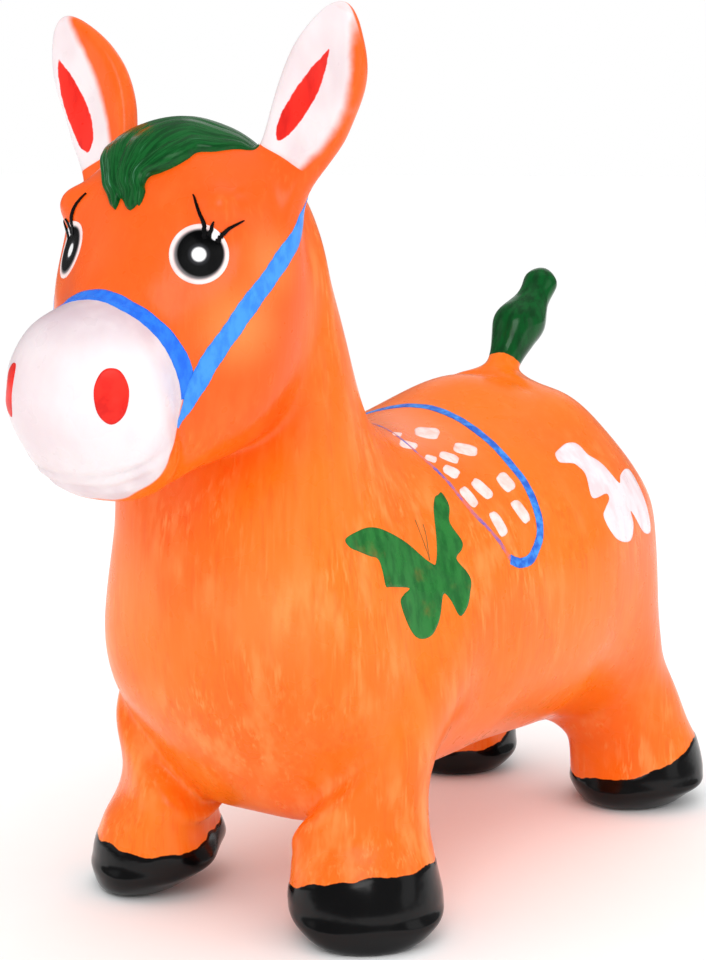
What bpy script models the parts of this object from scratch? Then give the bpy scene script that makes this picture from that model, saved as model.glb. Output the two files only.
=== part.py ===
"""Bouncy ride-on horse: a blown vinyl skin that a child sits on and hops along.

The toy is one hollow skin with an air valve in its belly. Here the skin is drawn once, as a cage of
four-sided faces that a smooth surface passes through, and is then parted along its natural lines
into open shells: body, neck, head, muzzle, legs, hooves, ears and tail. The shells keep the wall
thickness and are open to each other inside, like the real air space.

Axes: +X is the horse's left side, -Y is where it looks, +Z is up, and the floor is at zero. It is
drawn about the middle of its four hooves, and set about the middle of its whole length at the end.
"""

import math

import bmesh
import bpy
from mathutils import Vector
from mathutils.bvhtree import BVHTree

# Overall stance, in metres
BODY_LENGTH = 0.428  # from the front of the chest to the back of the rump
HOOF_TRACK = 0.157  # between the middles of left and right hooves
WALL = 0.0026
SEAM = 0.0004  # left open between neighbouring pieces

# Places along the body, as shares of its length. All but the first are measured from the middle of
# the four hooves.
HOOF_BASE_SHARE = 0.7897  # between the middles of front and rear hooves
RUMP_BACK_SHARE = 0.4486
POLL_FORWARD_SHARE = 0.4790
LEG_ROOT_FORWARD_SHARE = 0.3645  # of the front legs
LEG_ROOT_BACK_SHARE = 0.2967  # of the rear legs
VALVE_BACK_SHARE = 0.0701
HOOF_BASE = BODY_LENGTH * HOOF_BASE_SHARE
RUMP_BACK = BODY_LENGTH * RUMP_BACK_SHARE
POLL_FORWARD = BODY_LENGTH * POLL_FORWARD_SHARE
LEG_ROOT_FORWARD = BODY_LENGTH * LEG_ROOT_FORWARD_SHARE
LEG_ROOT_BACK = BODY_LENGTH * LEG_ROOT_BACK_SHARE
VALVE_BACK = BODY_LENGTH * VALVE_BACK_SHARE

# Body
BODY_WIDTH = 0.250
BELLY_HEIGHT = 0.056
RUMP_HEIGHT = 0.310

# Neck and head
POLL_HEIGHT = 0.474
HEAD_LENGTH = 0.150  # from the poll to the tip of the nose, measured level
HEAD_DEPTH = 0.203  # from the poll down to the chin
HEAD_WIDTH = 0.150
MUZZLE_WIDTH = 0.104

# Legs and hooves
LEG_ROOT_TRACK = 0.134  # between the middles of left and right legs where they leave the body
LEG_ROOT_HEIGHT = 0.120
LEG_ROOT_SLANT = math.radians(-34)  # the root is higher on its outer side
LEG_WIDTH = 0.083
HOOF_WIDTH = 0.093
HOOF_HEIGHT = 0.046
FRONT_SOLE_RISE = 0.002  # of the middle of each front sole, since the hoof stands on its outer side
REAR_SOLE_RISE = -0.003  # the floor presses this much of each rear sole flat
FRONT_SOLE_TILT = math.radians(17)  # each front sole faces in
REAR_SOLE_TILT = math.radians(-7)  # each rear sole faces out

# Ears
EAR_ROOT_SPREAD = 0.064  # from the middle of the head out to the middle of each root
EAR_ROOT_DEPTH = 0.022  # below the poll
EAR_LENGTH = 0.096
EAR_BREADTH = 0.055
EAR_THICKNESS = 0.025
EAR_SPLAY = math.radians(24)  # how far each ear leans out
EAR_HOLLOW = 0.005  # depth of the dish in the front of each ear
EAR_FORWARD = 0.018  # of the middle of each root, in front of the poll
EAR_BOW = 0.009  # how far the middle of each ear curves back

# Tail
TAIL_LENGTH = 0.083
TAIL_FORWARD = 0.086  # of the root, from the back of the rump
TAIL_FOOT_DEPTH = 0.009  # of the back under the tail, below the top of the rump
TAIL_WIDTH = 0.032
TAIL_LEAN = math.radians(32)

# Forelock, a lock of mane in low relief
LOCK_RELIEF = 0.0045
LOCK_EDGE = 0.0010
LOCK_GAP = 0.0007  # under the lock, which bridges the hollows of the skin

# Air valve
SEAT_RADIUS = 0.0110
SEAT_RISE = 0.0070  # height of the seat above the inside of the skin
SEAT_PROUD = 0.0010
BORE_RADIUS = 0.0034
PLUG_CLEARANCE = 0.0003
PLUG_HEAD_RADIUS = 0.0085
PLUG_HEAD_THICKNESS = 0.0022
PLUG_STEM_LENGTH = 0.0150
VALVE_BEVEL = 0.0006

# Fineness
SMOOTH_LEVELS = 1
LOCK_LEVELS = 3  # of the surface that the forelock is laid on, so that no facet cuts into it
FIT_PASSES = 5
ROUND_STEPS = 32
LOCK_STEPS = 18
WELD_DISTANCE = 0.000001

# How square the sections are (1 is an ellipse, less is squarer), and where their points lie, from
# the top round the left side to the bottom
BODY_SQUARENESS_SHARE = 0.92
HEAD_SQUARENESS_SHARE = 0.82
BODY_ANGLES = tuple(math.radians(a) for a in (0, 35, 70, 104, 135, 162, 180))
HEAD_ANGLES = tuple(math.radians(a) for a in (0, 28, 53, 80, 118, 155, 180))

# Sections of the body, back to front: place of the top line and height, place of the underline and
# height, then width and narrowing toward the top. Places are shares of the body length from the
# rump, heights are shares of the body's depth above the belly, widths are shares of the body width,
# and the narrowing is a share of the section's own width.
BODY_SHARES = (
    (0.063, 0.807, 0.037, 0.244, 0.640, 0.10),
    (0.105, 0.906, 0.093, 0.098, 0.864, 0.08),
    (0.220, 0.976, 0.201, 0.031, 0.972, 0.03),
    (0.327, 0.972, 0.332, 0.031, 1.000, 0.00),
    (0.425, 0.937, 0.449, 0.043, 0.968, 0.00),
    (0.505, 0.917, 0.577, 0.039, 0.944, 0.00),
    (0.584, 0.917, 0.710, 0.016, 0.960, 0.05),
    (0.640, 0.941, 0.787, 0.000, 0.992, 0.18),
    (0.689, 0.988, 0.881, 0.047, 1.004, 0.33),
    (0.729, 1.071, 0.965, 0.213, 0.968, 0.40),
)
RUMP_POLE_SHARE = 0.525  # height of the rearmost point
POLE_SHOULDER_SHARE = 0.78  # how near to each end the points beside it lie

# Sections of the neck: shares of the way from the body's last section to the head's first, along
# the top line and along the underline, then width as a share of the way between the two widths, and
# the narrowing
NECK_SHARES = (
    (0.21, 0.32, 0.33, 0.36),
    (0.47, 0.64, 0.66, 0.23),
    (0.75, 0.86, 0.90, 0.12),
)
CHEST_BULGE_SHARE = 0.10  # how far the underline of the neck bows forward, of its own length

# Sections of the head, poll to nose: place of the top line in front of the poll and its height below
# it, place of the underline and its height below the poll, then width and narrowing. Places are
# shares of the head length, drops are shares of the head depth, and widths are shares of the head
# width, or on the muzzle of the muzzle width.
HEAD_SHARES = (
    (-0.153, 0.118, 0.127, 0.916, 0.980, 0.06),
    (0.007, 0.015, 0.207, 0.921, 1.007, 0.00),
    (0.247, 0.005, 0.300, 0.936, 1.013, -0.04),
    (0.420, 0.108, 0.393, 0.951, 0.880, -0.12),
    (0.553, 0.266, 0.467, 0.975, 0.720, -0.10),
)
MUZZLE_SHARES = (
    (0.667, 0.424, 0.527, 0.990, 0.913, 0.08),
    (0.820, 0.483, 0.640, 1.000, 1.000, 0.05),
    (0.947, 0.591, 0.800, 0.951, 0.808, 0.00),
)
NOSE_POLE_SHARE = 0.75

# Places on the cage where the limbs leave it
REAR_LEG_SECTION = 1
FRONT_LEG_SECTION = 6
TAIL_SECTION = 1
EAR_SECTION = 14

# Leg sections, top to bottom: way from root to hoof and height, as shares of the drop from the root
# to the hoof's top, then radius as a share of half the leg width, and share of the root's slant
LEG_SHARES = ((0.42, 0.48, 1.00, 1.0), (0.74, 0.76, 0.99, 0.4), (1, 1, 1, 0))
# Hoof sections: height and radius as shares of the hoof's, then share of the sole's tilt and rise
HOOF_SHARES = ((0.50, 1.00, 0.50), (0.13, 0.92, 1.00))

# Ear sections, root to tip: place along the ear, breadth and thickness
EAR_SHARES = (
    (0.06, 0.72, 0.95),
    (0.28, 0.92, 0.95),
    (0.52, 1.02, 0.95),
    (0.76, 0.76, 0.80),
    (0.95, 0.34, 0.45),
)
EAR_CORNER_SHARE = 0.86  # where the corners of a section lie, of half its breadth
EAR_BACK_SHARE = 0.45  # and behind the middle, of half its thickness
EAR_FRONT_SHARE = 0.75

# Tail sections, root to tip: place along the tail, width, how far it bows back, and how much of the
# lean the section takes
TAIL_SHARES = (
    (-0.05, 1.12, 0.00, 0.3),
    (0.10, 1.00, 0.00, 0.8),
    (0.36, 1.20, 0.00, 1.0),
    (0.60, 0.98, 0.05, 1.0),
    (0.80, 0.66, 0.11, 1.0),
    (0.94, 0.66, 0.13, 1.0),
)
TAIL_SKIRT_SHARE = 0.52  # where the back begins to turn up, on the way out from under the tail
TAIL_TIP_BOW_SHARE = 0.13

# The forelock's way over the head: points that it passes, out from the heart of the head to the left,
# forward and up, then half its breadth. All are shares of half the head width.
LOCK_SHARES = (
    (0.54, 0.08, 0.86, 0.04),
    (0.36, 0.14, 0.90, 0.15),
    (0.15, 0.20, 0.92, 0.26),
    (-0.06, 0.30, 0.86, 0.28),
    (-0.14, 0.42, 0.72, 0.24),
    (-0.12, 0.54, 0.54, 0.19),
    (-0.07, 0.64, 0.37, 0.13),
)
LOCK_HEART_FORWARD_SHARE = 0.20  # of the heart, in front of the poll, of the head length
LOCK_HEART_DEPTH_SHARE = 0.36  # of the heart, below the poll, of the head depth
LOCK_TIP_SHARES = (0.86, 0.99, 1.00, 0.88, 0.86, 0.98, 0.90)  # how far each strand runs
LOCK_GROOVE_SHARE = 0.30  # depth of the grooves between strands, of the relief
LOCK_STRANDS = 2.5
LOCK_ROOT_SHARE = 0.5  # of its length, over which it grows to its full relief
LOCK_TIP_POWER = 6  # how late the relief falls off to the tips

ZONES = (
    "torso_skin",
    "neck_skin",
    "head_skin",
    "muzzle_skin",
    "leg_front_left",
    "leg_front_right",
    "leg_rear_left",
    "leg_rear_right",
    "hoof_front_left",
    "hoof_front_right",
    "hoof_rear_left",
    "hoof_rear_right",
    "ear_root_left",
    "ear_root_right",
    "ear_left",
    "ear_right",
    "tail_root",
    "tail",
)
SIDES = (("left", 1), ("right", -1))
# Name of each end, which way it lies, the leg's section, its root, and the tilt and rise of its sole
ENDS = (
    ("front", -1, FRONT_LEG_SECTION, LEG_ROOT_FORWARD, FRONT_SOLE_TILT, FRONT_SOLE_RISE),
    ("rear", 1, REAR_LEG_SECTION, LEG_ROOT_BACK, REAR_SOLE_TILT, REAR_SOLE_RISE),
)

# Colour and roughness of each finish
FINISHES = {
    "orange": ((1.0, 0.14, 0.02), 0.28),
    "white": ((0.86, 0.78, 0.76), 0.30),
    "black": ((0.006, 0.006, 0.007), 0.22),
    "green": ((0.004, 0.075, 0.016), 0.30),
    "clear": ((0.72, 0.70, 0.62), 0.35),
}


def body_section(shares):
    """Top line point, underline point, half width and narrowing of one section of the body."""
    top_place, top_rise, under_place, under_rise, width, slope = shares
    depth = RUMP_HEIGHT - BELLY_HEIGHT
    top = Vector((0, RUMP_BACK - top_place * BODY_LENGTH, BELLY_HEIGHT + top_rise * depth))
    under = Vector((0, RUMP_BACK - under_place * BODY_LENGTH, BELLY_HEIGHT + under_rise * depth))
    return top, under, width * BODY_WIDTH / 2, slope


def head_section(shares, whole_width):
    """Top line point, underline point, half width and narrowing of one section of the head."""
    top_place, top_drop, under_place, under_drop, width, slope = shares
    top = Vector((0, -POLL_FORWARD - top_place * HEAD_LENGTH, POLL_HEIGHT - top_drop * HEAD_DEPTH))
    under = Vector((0, -POLL_FORWARD - under_place * HEAD_LENGTH, POLL_HEIGHT - under_drop * HEAD_DEPTH))
    return top, under, width * whole_width / 2, slope


def neck_section(shares, body_end, head_start):
    """A section between the body's last and the head's first, bowed forward like a full chest."""
    top_way, under_way, width_way, slope = shares
    top = body_end[0].lerp(head_start[0], top_way)
    under = body_end[1].lerp(head_start[1], under_way)
    run = head_start[1] - body_end[1]
    bow = CHEST_BULGE_SHARE * run.length * math.sin(math.pi * under_way)
    under += Vector((0, -bow, 0))
    half_width = body_end[2] + (head_start[2] - body_end[2]) * width_way
    return top, under, half_width, slope


def all_sections():
    """Every section from the rump to the nose, in four lots."""
    body = [body_section(s) for s in BODY_SHARES]
    head = [head_section(s, HEAD_WIDTH) for s in HEAD_SHARES]
    muzzle = [head_section(s, MUZZLE_WIDTH) for s in MUZZLE_SHARES]
    neck = [neck_section(s, body[-1], head[0]) for s in NECK_SHARES]
    return body, neck, head, muzzle


def squared(value, power):
    return math.copysign(abs(value) ** power, value)


def section_points(section, headward):
    """Twelve points round a section. headward runs from zero on the body to one on the head."""
    top, under, half_width, slope = section
    middle = (top + under) / 2
    up = (top - under) / 2
    power = BODY_SQUARENESS_SHARE + (HEAD_SQUARENESS_SHARE - BODY_SQUARENESS_SHARE) * headward
    angles = [a + (b - a) * headward for a, b in zip(BODY_ANGLES, HEAD_ANGLES)]
    angles += [-a for a in angles[-2:0:-1]]
    points = []
    for angle in angles:
        rise = math.cos(angle)
        reach = half_width * (1 - slope * (1 + rise) / 2) * squared(math.sin(angle), power)
        points.append(middle + up * squared(rise, power) + Vector((reach, 0, 0)))
    return points


class Cage:
    """A cage of four-sided faces, the point each vertex must reach, and the zone of each face."""

    def __init__(self):
        self.mesh = bmesh.new()
        self.targets = {}

    def vertex(self, point):
        v = self.mesh.verts.new(point)
        self.targets[v] = Vector(point)
        return v

    def ring(self, points):
        return [self.vertex(p) for p in points]

    def face(self, corners, zone):
        """One face, with its corners in clockwise order as seen from outside."""
        f = self.mesh.faces.new(corners[::-1])
        f.material_index = ZONES.index(zone)
        f.smooth = True

    def join(self, near, far, zone):
        """Faces between two rings that have the same number of vertices."""
        count = len(near)
        for k in range(count):
            n = (k + 1) % count
            self.face((near[k], near[n], far[n], far[k]), zone)

    def join_side(self, near, far, zone, side):
        """Faces between two rings of a limb, whose order turns round on the right side."""
        if side > 0:
            self.join(near, far, zone)
        else:
            self.join(near[::-1], far[::-1], zone)

    def face_side(self, corners, zone, side):
        self.face(corners if side > 0 else corners[::-1], zone)

    def close_six(self, ring, zone, side):
        """Closes a ring of six with two faces."""
        self.face_side((ring[0], ring[1], ring[4], ring[5]), zone, side)
        self.face_side((ring[1], ring[2], ring[3], ring[4]), zone, side)

    def close_eight(self, ring, middle, zone, side):
        """Closes a ring of eight with four faces round a middle point."""
        centre = self.vertex(middle)
        for k in range(0, 8, 2):
            self.face_side((ring[k - 1], ring[k], ring[k + 1], centre), zone, side)

    def open_patch(self, rings, first, last, sectors):
        """Clears the faces between two sections over some sectors, and gives the rim in order."""
        block = [[rings[i][k] for k in sectors] for i in range(first, last + 1)]
        inside = {frozenset(q) for q in block_faces(block)}
        gone = [f for f in self.mesh.faces if frozenset(f.verts) in inside]
        bmesh.ops.delete(self.mesh, geom=gone, context="FACES_ONLY")
        for row in block[1:-1]:
            for v in row[1:-1]:
                del self.targets[v]
                self.mesh.verts.remove(v)
        rim = block[0] + [row[-1] for row in block[1:-1]]
        rim += block[-1][::-1] + [row[0] for row in block[-2:0:-1]]
        return rim

    def cap_wide(self, ring, pole, reach, zone, facing_back):
        """Closes a section ring with two strips of four faces, over a shallow dome."""
        middle = (ring[0].co + ring[6].co) / 2
        shoulder = middle.lerp(pole, POLE_SHOULDER_SHARE)
        right = self.vertex(shoulder - reach)
        left = self.vertex(shoulder + reach)
        across = [ring[9], right, self.vertex(pole), left, ring[3]]
        upper = [ring[10], ring[11], ring[0], ring[1], ring[2]]
        lower = [ring[8], ring[7], ring[6], ring[5], ring[4]]
        for strip in ((upper, across), (across, lower)):
            for k in range(4):
                corners = (strip[0][k], strip[0][k + 1], strip[1][k + 1], strip[1][k])
                self.face(corners[::-1] if facing_back else corners, zone)

    def settle(self):
        """Moves the cage until the smooth surface passes through the targets.

        Where other than four edges meet, the cage keeps its place, which rounds a limb into the body.
        """
        regular = [v for v in self.targets if len(v.link_edges) == 4]
        for _ in range(FIT_PASSES):
            moves = [self.targets[v] - limit_point(v) for v in regular]
            for v, move in zip(regular, moves):
                v.co += move
        self.mesh.normal_update()

    def shrunk(self, wall):
        """A second cage whose surface lies one wall thickness inside this one's."""
        inner = Cage()
        inner.mesh = self.mesh.copy()
        for a, b in zip(self.mesh.verts, inner.mesh.verts):
            b.co -= a.normal * wall
            inner.targets[b] = self.targets[a] - a.normal * wall
        inner.settle()
        return inner

    def smoothed(self, levels, lowest):
        """The smooth surface, pressed flat where it would reach below the lowest height."""
        mesh = bpy.data.meshes.new("cage")
        self.mesh.to_mesh(mesh)
        ob = bpy.data.objects.new("cage", mesh)
        bpy.context.collection.objects.link(ob)
        mod = ob.modifiers.new("Smooth", "SUBSURF")
        mod.levels = levels
        mod.render_levels = levels
        surface = bmesh.new()
        surface.from_object(ob, bpy.context.evaluated_depsgraph_get())
        bpy.data.objects.remove(ob, do_unlink=True)
        bpy.data.meshes.remove(mesh)
        for v in surface.verts:
            v.co.z = max(v.co.z, lowest)
        return surface


def block_faces(block):
    for upper, lower in zip(block, block[1:]):
        for k in range(len(upper) - 1):
            yield upper[k], upper[k + 1], lower[k + 1], lower[k]


def limit_point(v):
    """Where a Catmull-Clark surface of four-sided faces settles at one vertex of its cage."""
    n = len(v.link_edges)
    beside = Vector()
    for e in v.link_edges:
        beside += e.other_vert(v).co
    across = Vector()
    for loop in v.link_loops:
        across += loop.link_loop_next.link_loop_next.vert.co
    return (n * n * v.co + 4 * beside + across) / (n * (n + 5))


def add_trunk(cage):
    """Rump to nose, one ring of faces after another. Returns the rings."""
    body, neck, head, muzzle = all_sections()
    sections = body + neck + head + muzzle
    rings = []
    for i, section in enumerate(sections):
        headward = (i - len(body) + 1) / (len(neck) + 1)
        rings.append(cage.ring(section_points(section, min(max(headward, 0), 1))))
    neck_from = len(body) - 1
    head_from = neck_from + len(neck) + 1
    muzzle_from = head_from + len(head)
    for i in range(len(rings) - 1):
        zone = "torso_skin"
        if i >= neck_from:
            zone = "neck_skin"
        if i >= head_from:
            zone = "head_skin"
        if i >= muzzle_from:
            zone = "muzzle_skin"
        cage.join(rings[i], rings[i + 1], zone)
    rump_z = BELLY_HEIGHT + RUMP_POLE_SHARE * (RUMP_HEIGHT - BELLY_HEIGHT)
    rump = Vector((0, RUMP_BACK, rump_z))
    nose = Vector((0, -POLL_FORWARD - HEAD_LENGTH, POLL_HEIGHT - NOSE_POLE_SHARE * HEAD_DEPTH))
    rump_reach = Vector((sections[0][2] / 2, 0, 0))
    nose_reach = Vector((sections[-1][2] / 2, 0, 0))
    cage.cap_wide(rings[0], rump, rump_reach, "torso_skin", True)
    cage.cap_wide(rings[-1], nose, nose_reach, "muzzle_skin", False)
    return rings


def hoof_place(side, end):
    """The middle of a hoof, on the floor."""
    return Vector((side * HOOF_TRACK / 2, end * HOOF_BASE / 2, 0))


def add_leg(cage, rings, side_name, side, leg_end):
    """One leg and its hoof, grown from a patch of the belly."""
    end_name, end, section, root_reach, tilt, rise = leg_end
    sectors = (3, 4, 5) if side > 0 else (9, 8, 7)
    near = cage.open_patch(rings, section, section + 2, sectors)
    leg_zone = f"leg_{end_name}_{side_name}"
    hoof_zone = f"hoof_{end_name}_{side_name}"
    hoof = hoof_place(side, end)
    hoof_top = hoof + Vector((0, 0, HOOF_HEIGHT))
    root = Vector((side * LEG_ROOT_TRACK / 2, end * root_reach, LEG_ROOT_HEIGHT))
    for i, (way, down, radius, share) in enumerate(LEG_SHARES):
        middle = root.lerp(hoof_top, way)
        middle.z = root.z + (hoof_top.z - root.z) * down
        slant = share * LEG_ROOT_SLANT
        far = cage.ring(leg_ring(middle, radius * LEG_WIDTH / 2, side, Vector((side, 0, 0)), slant))
        cage.join_side(near, far, leg_zone if i else "torso_skin", side)
        near = far
    outward = Vector((side, end, 0)).normalized()
    for height, radius, share in HOOF_SHARES:
        middle = hoof + Vector((0, 0, height * HOOF_HEIGHT + share * rise))
        far = cage.ring(leg_ring(middle, radius * HOOF_WIDTH / 2, side, outward, share * tilt))
        cage.join_side(near, far, hoof_zone, side)
        near = far
    cage.close_eight(near, hoof + Vector((0, 0, rise)), hoof_zone, side)


def leg_ring(middle, radius, side, outward, tilt):
    """Eight points round a leg, lower on its outward side, in the order of the patch it grows from."""
    points = []
    for k in range(8):
        angle = math.tau * (k + 1) / 8
        out = Vector((side * math.cos(angle), math.sin(angle), 0))
        lift = -radius * out.dot(outward) * math.tan(tilt)
        points.append(middle + out * radius + Vector((0, 0, lift)))
    return points


def ear_root(side):
    """The middle of an ear's root."""
    return Vector((side * EAR_ROOT_SPREAD, -POLL_FORWARD - EAR_FORWARD, POLL_HEIGHT - EAR_ROOT_DEPTH))


def add_ear(cage, rings, side_name, side):
    """One ear, a leaf with a dished front, grown from a patch beside the poll."""
    sectors = (1, 2, 3) if side > 0 else (11, 10, 9)
    near = cage.open_patch(rings, EAR_SECTION, EAR_SECTION + 1, sectors)
    along = Vector((side * math.sin(EAR_SPLAY), 0, math.cos(EAR_SPLAY)))
    across = Vector((along.z, 0, -along.x)) * side
    forward = Vector((0, -1, 0))
    for i, (way, breadth, thickness) in enumerate(EAR_SHARES):
        middle = ear_root(side) + along * way * EAR_LENGTH - forward * EAR_BOW * math.sin(math.pi * way)
        corner = across * breadth * EAR_BREADTH / 2 * EAR_CORNER_SHARE
        deep = forward * thickness * EAR_THICKNESS / 2
        dish = forward * EAR_HOLLOW * breadth
        points = (
            middle - corner - deep * EAR_BACK_SHARE,
            middle - deep,
            middle + corner - deep * EAR_BACK_SHARE,
            middle + corner + deep * EAR_FRONT_SHARE,
            middle + deep - dish,
            middle - corner + deep * EAR_FRONT_SHARE,
        )
        far = cage.ring(points)
        zone = ("head_skin", f"ear_root_{side_name}")[i] if i < 2 else f"ear_{side_name}"
        cage.join_side(near, far, zone, side)
        near = far
    cage.close_six(near, f"ear_{side_name}", side)


def tail_point(way, bow, lean):
    """A point on the tail's middle line, and the direction that is back at that point."""
    root = Vector((0, RUMP_BACK - TAIL_FORWARD, RUMP_HEIGHT))
    along = Vector((0, math.sin(TAIL_LEAN), math.cos(TAIL_LEAN)))
    back = Vector((0, math.cos(TAIL_LEAN * lean), -math.sin(TAIL_LEAN * lean)))
    return root + (along * way + back * bow) * TAIL_LENGTH, back


def add_tail(cage, rings):
    """The tail, a short club that stands up from the rump on a low skirt."""
    rim = cage.open_patch(rings, TAIL_SECTION, TAIL_SECTION + 2, (11, 0, 1))
    foot = Vector((0, RUMP_BACK - TAIL_FORWARD, RUMP_HEIGHT - TAIL_FOOT_DEPTH))
    skirt = []
    for v in rim:
        out = cage.targets[v] - foot
        skirt.append(foot + Vector((out.x, out.y, out.z * TAIL_SKIRT_SHARE)) * TAIL_SKIRT_SHARE)
    near = cage.ring(skirt)
    cage.join(rim, near, "torso_skin")
    for i, (way, width, bow, lean) in enumerate(TAIL_SHARES):
        middle, back = tail_point(way, bow, lean)
        radius = width * TAIL_WIDTH / 2
        points = []
        for k in range(8):
            angle = math.tau * (k - 1) / 8
            left = Vector((math.sin(angle), 0, 0))
            points.append(middle + (left + back * math.cos(angle)) * radius)
        far = cage.ring(points)
        zone = ("torso_skin", "tail_root")[i] if i < 2 else "tail"
        cage.join(near, far, zone)
        near = far
    tip = tail_point(1, TAIL_TIP_BOW_SHARE, 1)[0]
    cage.close_eight(near, tip, "tail", 1)


def draw_cage():
    cage = Cage()
    rings = add_trunk(cage)
    for side_name, side in SIDES:
        for leg_end in ENDS:
            add_leg(cage, rings, side_name, side, leg_end)
        add_ear(cage, rings, side_name, side)
    add_tail(cage, rings)
    cage.settle()
    return cage


def rim_loops(verts):
    """The closed loops of open edges among some vertices, each in the order of its faces."""
    ahead = {}
    for v in verts:
        for corner in v.link_loops:
            if corner.edge.is_boundary:
                ahead[v] = corner.link_loop_next.vert
    loops = []
    while ahead:
        start, v = ahead.popitem()
        loop = [start]
        while v is not start:
            loop.append(v)
            v = ahead.pop(v)
        loops.append(loop)
    return loops


def pull_back(loop, distance):
    """Moves an open edge back over its own surface, to leave a seam."""
    rim = set(loop)
    moves = []
    for v in loop:
        inward = Vector()
        for e in v.link_edges:
            other = e.other_vert(v)
            if other not in rim:
                inward += (other.co - v.co).normalized()
        moves.append(inward.normalized() * distance)
    for v, move in zip(loop, moves):
        v.co += move


def copy_zone(shell, surface, number, flipped):
    """Copies the faces of one zone, and gives the loops along its open edges."""
    copies = {}
    for face in surface.faces:
        if face.material_index != number:
            continue
        for v in face.verts:
            if v not in copies:
                copies[v] = shell.verts.new(v.co)
        corners = [copies[v] for v in face.verts]
        shell.faces.new(corners[::-1] if flipped else corners)
    loops = rim_loops(copies.values())
    for loop in loops:
        pull_back(loop, SEAM / 2)
    return loops


def loop_middle(loop):
    return sum((v.co for v in loop), Vector()) / len(loop)


def bridge(shell, outer_loop, inner_loop):
    """Joins an outer edge to the inner one behind it, across the thickness of the wall."""
    inner_loop = inner_loop[::-1]
    first = outer_loop[0].co
    start = min(range(len(inner_loop)), key=lambda k: (inner_loop[k].co - first).length)
    inner_loop = inner_loop[start:] + inner_loop[:start]
    for k in range(len(outer_loop)):
        shell.faces.new((outer_loop[k], outer_loop[k - 1], inner_loop[k - 1], inner_loop[k]))


def zone_shell(outer, inner, zone):
    """One zone of the skin as a closed shell: outside, inside, and the wall along its open edges."""
    shell = bmesh.new()
    number = ZONES.index(zone)
    outer_loops = copy_zone(shell, outer, number, False)
    inner_loops = copy_zone(shell, inner, number, True)
    for outer_loop in outer_loops:
        middle = loop_middle(outer_loop)
        nearest = min(inner_loops, key=lambda loop: (loop_middle(loop) - middle).length)
        bridge(shell, outer_loop, nearest)
    bmesh.ops.triangulate(shell, faces=[f for f in shell.faces if len(f.verts) > 3])
    return shell


def turned(profile, closed):
    """A body turned about the vertical axis from points given as radius and height."""
    shape = bmesh.new()
    line = [shape.verts.new((radius, 0, height)) for radius, height in profile]
    ahead = line[1:] + line[:1] if closed else line[1:]
    edges = [shape.edges.new(pair) for pair in zip(line, ahead)]
    bmesh.ops.spin(
        shape,
        geom=line + edges,
        cent=(0, 0, 0),
        axis=(0, 0, 1),
        angle=math.tau,
        steps=ROUND_STEPS,
        use_merge=True,
    )
    bmesh.ops.remove_doubles(shape, verts=shape.verts, dist=WELD_DISTANCE)
    bmesh.ops.recalc_face_normals(shape, faces=shape.faces)
    return shape


def height_at(tree, x, y):
    """The height of the first surface met on the way up from the floor."""
    return tree.ray_cast(Vector((x, y, 0)), Vector((0, 0, 1)))[0].z


def valve_seat(thickness):
    """The thick ring moulded into the belly, drawn from the outside of the skin upwards."""
    top = thickness + SEAT_RISE
    profile = (
        (BORE_RADIUS, -SEAT_PROUD),
        (SEAT_RADIUS - VALVE_BEVEL, -SEAT_PROUD),
        (SEAT_RADIUS, VALVE_BEVEL - SEAT_PROUD),
        (SEAT_RADIUS, top - VALVE_BEVEL),
        (SEAT_RADIUS - VALVE_BEVEL, top),
        (BORE_RADIUS, top),
    )
    return turned(profile, True)


def valve_plug():
    """The plug: a flat head under the seat and a stem up the bore, with its tip drawn in."""
    head_top = -SEAT_PROUD - SEAM
    head_under = head_top - PLUG_HEAD_THICKNESS
    stem = BORE_RADIUS - PLUG_CLEARANCE
    tip = head_top + PLUG_STEM_LENGTH
    profile = (
        (0, head_under),
        (PLUG_HEAD_RADIUS - VALVE_BEVEL, head_under),
        (PLUG_HEAD_RADIUS, head_under + VALVE_BEVEL),
        (PLUG_HEAD_RADIUS, head_top - VALVE_BEVEL),
        (PLUG_HEAD_RADIUS - VALVE_BEVEL, head_top),
        (stem, head_top),
        (stem, tip - stem),
        (stem / 2, tip),
        (0, tip),
    )
    return turned(profile, False)


def between(a, b, c, d, way):
    """A smooth way from b to c that runs on from a and on to d."""
    bend = 2 * a - 5 * b + 4 * c - d
    twist = 3 * (b - c) + d - a
    return b + ((c - a) * way + bend * way**2 + twist * way**3) / 2


def lock_station(way):
    """Where the forelock's middle line passes, and half its breadth there."""
    last = len(LOCK_SHARES) - 1
    place = min(max(way, 0), 1) * last
    first = min(int(place), last - 1)
    rows = [LOCK_SHARES[min(max(first + k, 0), last)] for k in (-1, 0, 1, 2)]
    left, forward, up, breadth = (between(*column, place - first) for column in zip(*rows))
    half_head = HEAD_WIDTH / 2
    return Vector((left, -forward, up)) * half_head, breadth * half_head


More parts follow.
